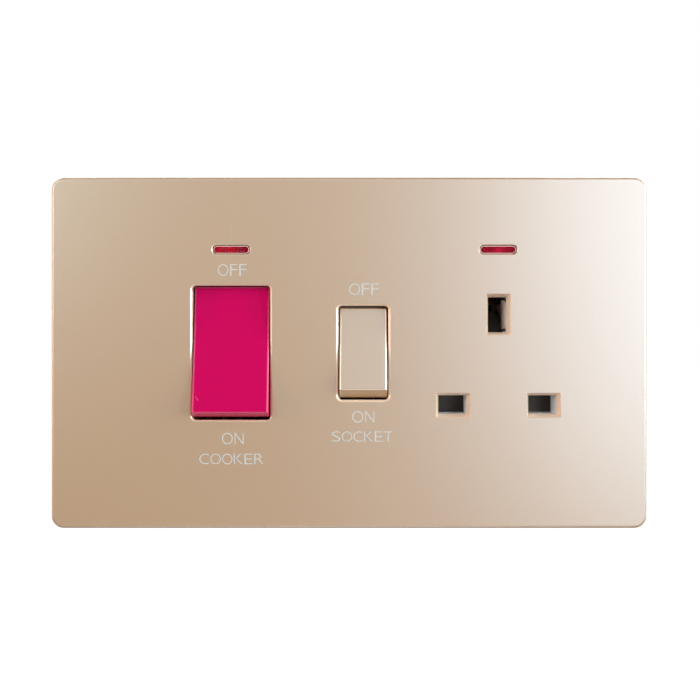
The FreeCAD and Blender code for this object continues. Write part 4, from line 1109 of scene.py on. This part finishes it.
# %% Floor
FLOOR_SIZE = 24
FLOOR_PLACE = (0, 0, -0.45)
clear_selection()
bpy.ops.mesh.primitive_plane_add(size=FLOOR_SIZE, location=FLOOR_PLACE)
floor = bpy.context.object
floor.name = "floor"
floor_white, tree, shader = begin_material("floor_white")
cloud = noise(tree, object_place(tree), scale=3.0)
tone = blend_colour(tree, cloud, (0.30, 0.30, 0.30), (0.26, 0.26, 0.26))
tree.links.new(tone, shader.inputs["Base Color"])
set_plain(shader, Roughness=0.9, Emission_Color=(1.0, 1.0, 1.0, 1.0), Emission_Strength=1.0)
floor.data.materials.append(floor_white)
floor.visible_diffuse = False
floor.visible_glossy = False
floor.visible_shadow = False
print("floor", FLOOR_SIZE, "m wide at", FLOOR_PLACE[2])


# %% Room
def build_room(low, high):
    """A white room to the eye, with a soft light from low at the bottom to high at the top."""
    world = bpy.data.worlds.new("studio")
    bpy.context.scene.world = world
    world.use_nodes = True
    tree = world.node_tree
    light = tree.nodes["Background"]
    seen = tree.nodes.new("ShaderNodeBackground")
    set_plain(seen, Color=(1.0, 1.0, 1.0, 1.0))
    height = tree.nodes.new("ShaderNodeSeparateXYZ")
    direction = tree.nodes.new("ShaderNodeTexCoord").outputs["Generated"]
    tree.links.new(direction, height.inputs[0])
    grade = tree.nodes.new("ShaderNodeMapRange")
    set_plain(grade, From_Min=-1.0, To_Min=low, To_Max=high)
    tree.links.new(height.outputs["Z"], grade.inputs["Value"])
    tree.links.new(grade.outputs[0], light.inputs["Strength"])
    set_plain(light, Color=(1.0, 1.0, 0.98, 1.0))
    choose = tree.nodes.new("ShaderNodeMixShader")
    to_eye = tree.nodes.new("ShaderNodeLightPath").outputs["Is Camera Ray"]
    tree.links.new(to_eye, choose.inputs[0])
    tree.links.new(light.outputs[0], choose.inputs[1])
    tree.links.new(seen.outputs[0], choose.inputs[2])
    tree.links.new(choose.outputs[0], tree.nodes["World Output"].inputs["Surface"])


ROOM_LOW, ROOM_HIGH = 0.042, 0.060
build_room(ROOM_LOW, ROOM_HIGH)
print("room light", ROOM_LOW, "to", ROOM_HIGH)

# %% [markdown]
# ### Panels of light
# Nine soft panels stand round the unit. Two windows light the plate from the front, and the
# one above adds to its top. The two on the right come from the side, so the rockers' raised
# ends drop a soft shadow to their left and the lips on the left catch the light; the one at
# low left warms the lips on the right. One below lights the chins, and two behind are there
# for the views from the back. Each panel has a stated glow, so it looks equally bright when
# its size is changed. The glows and tints were found by weighing renders with one panel each.

# %% Panels of light
PANEL_FAR = 0.9
# Each panel is (name, degrees right, degrees up, (wide, high) in metres, glow, tint).
PANELS = (
    ("window_right", 25, 10, (0.26, 0.80), 6.95, (0.70, 0.86, 1.0)),
    ("window_left", -42, 18, (0.26, 0.30), 11.6, (0.79, 1.0, 1.0)),
    ("above", -10, 52, (0.50, 0.20), 3.2, (1.0, 0.85, 0.92)),
    ("side_right", 58, 6, (0.20, 0.40), 15.0, (0.77, 1.0, 1.0)),
    ("low_right", 78, 12, (0.22, 0.45), 17.2, (0.95, 1.0, 1.0)),
    ("low_left", -74, 6, (0.22, 0.45), 11.8, (1.0, 0.62, 0.50)),
    ("below", 0, -50, (0.6, 0.30), 3.2, (1.0, 0.89, 0.90)),
    ("back_right", 150, 25, (0.40, 0.40), 12.0, (0.94, 0.97, 1.0)),
    ("back_left", -140, 35, (0.40, 0.40), 6.0, (1.0, 0.97, 0.92)),
)


def add_panel(name, turn, rise_up, size, glow, colour):
    """A soft panel that looks at the unit from turn degrees right and rise_up degrees up."""
    data = bpy.data.lights.new(name, "AREA")
    data.shape = "RECTANGLE"
    data.size, data.size_y = size
    data.energy = glow * math.pi * size[0] * size[1]
    data.color = colour
    lamp = bpy.data.objects.new(name, data)
    bpy.context.scene.collection.objects.link(lamp)
    across, up = math.radians(turn), math.radians(rise_up)
    level = PANEL_FAR * math.cos(up)
    lamp.location = (
        level * math.sin(across), -level * math.cos(across), PANEL_FAR * math.sin(up))
    look = -lamp.location
    lamp.rotation_euler = look.to_track_quat("-Z", "Y").to_euler()


for panel in PANELS:
    add_panel(*panel)
print("panels", len(PANELS))

# %% [markdown]
# ### Camera
# The plate is seen square on from close by, from a little right of its middle and above it,
# so one looks into the slots at a slant. The lens follows from the distance and from how much
# of the plate's plane is in view.

# %% Camera
IN_VIEW = 171.5
DISTANCE = 220.0
SENSOR = 36.0
EYE_X, EYE_Z = 3.5, 5.5
FRAME_SHIFT = (-0.019, -0.028)  # share of the frame by which the view moves across and up
eye = bpy.data.cameras.new("camera")
camera = bpy.data.objects.new("camera", eye)
bpy.context.scene.collection.objects.link(camera)
camera.location = (EYE_X * MM, PLATE_FACE - DISTANCE * MM, EYE_Z * MM)
camera.rotation_euler = (math.pi / 2, 0, 0)
eye.sensor_width = SENSOR
eye.lens = SENSOR * DISTANCE / IN_VIEW
eye.shift_x, eye.shift_y = FRAME_SHIFT
eye.clip_start = 0.01
bpy.context.scene.camera = camera
bpy.context.scene.view_settings.view_transform = "Standard"
print("camera lens", round(eye.lens, 1))
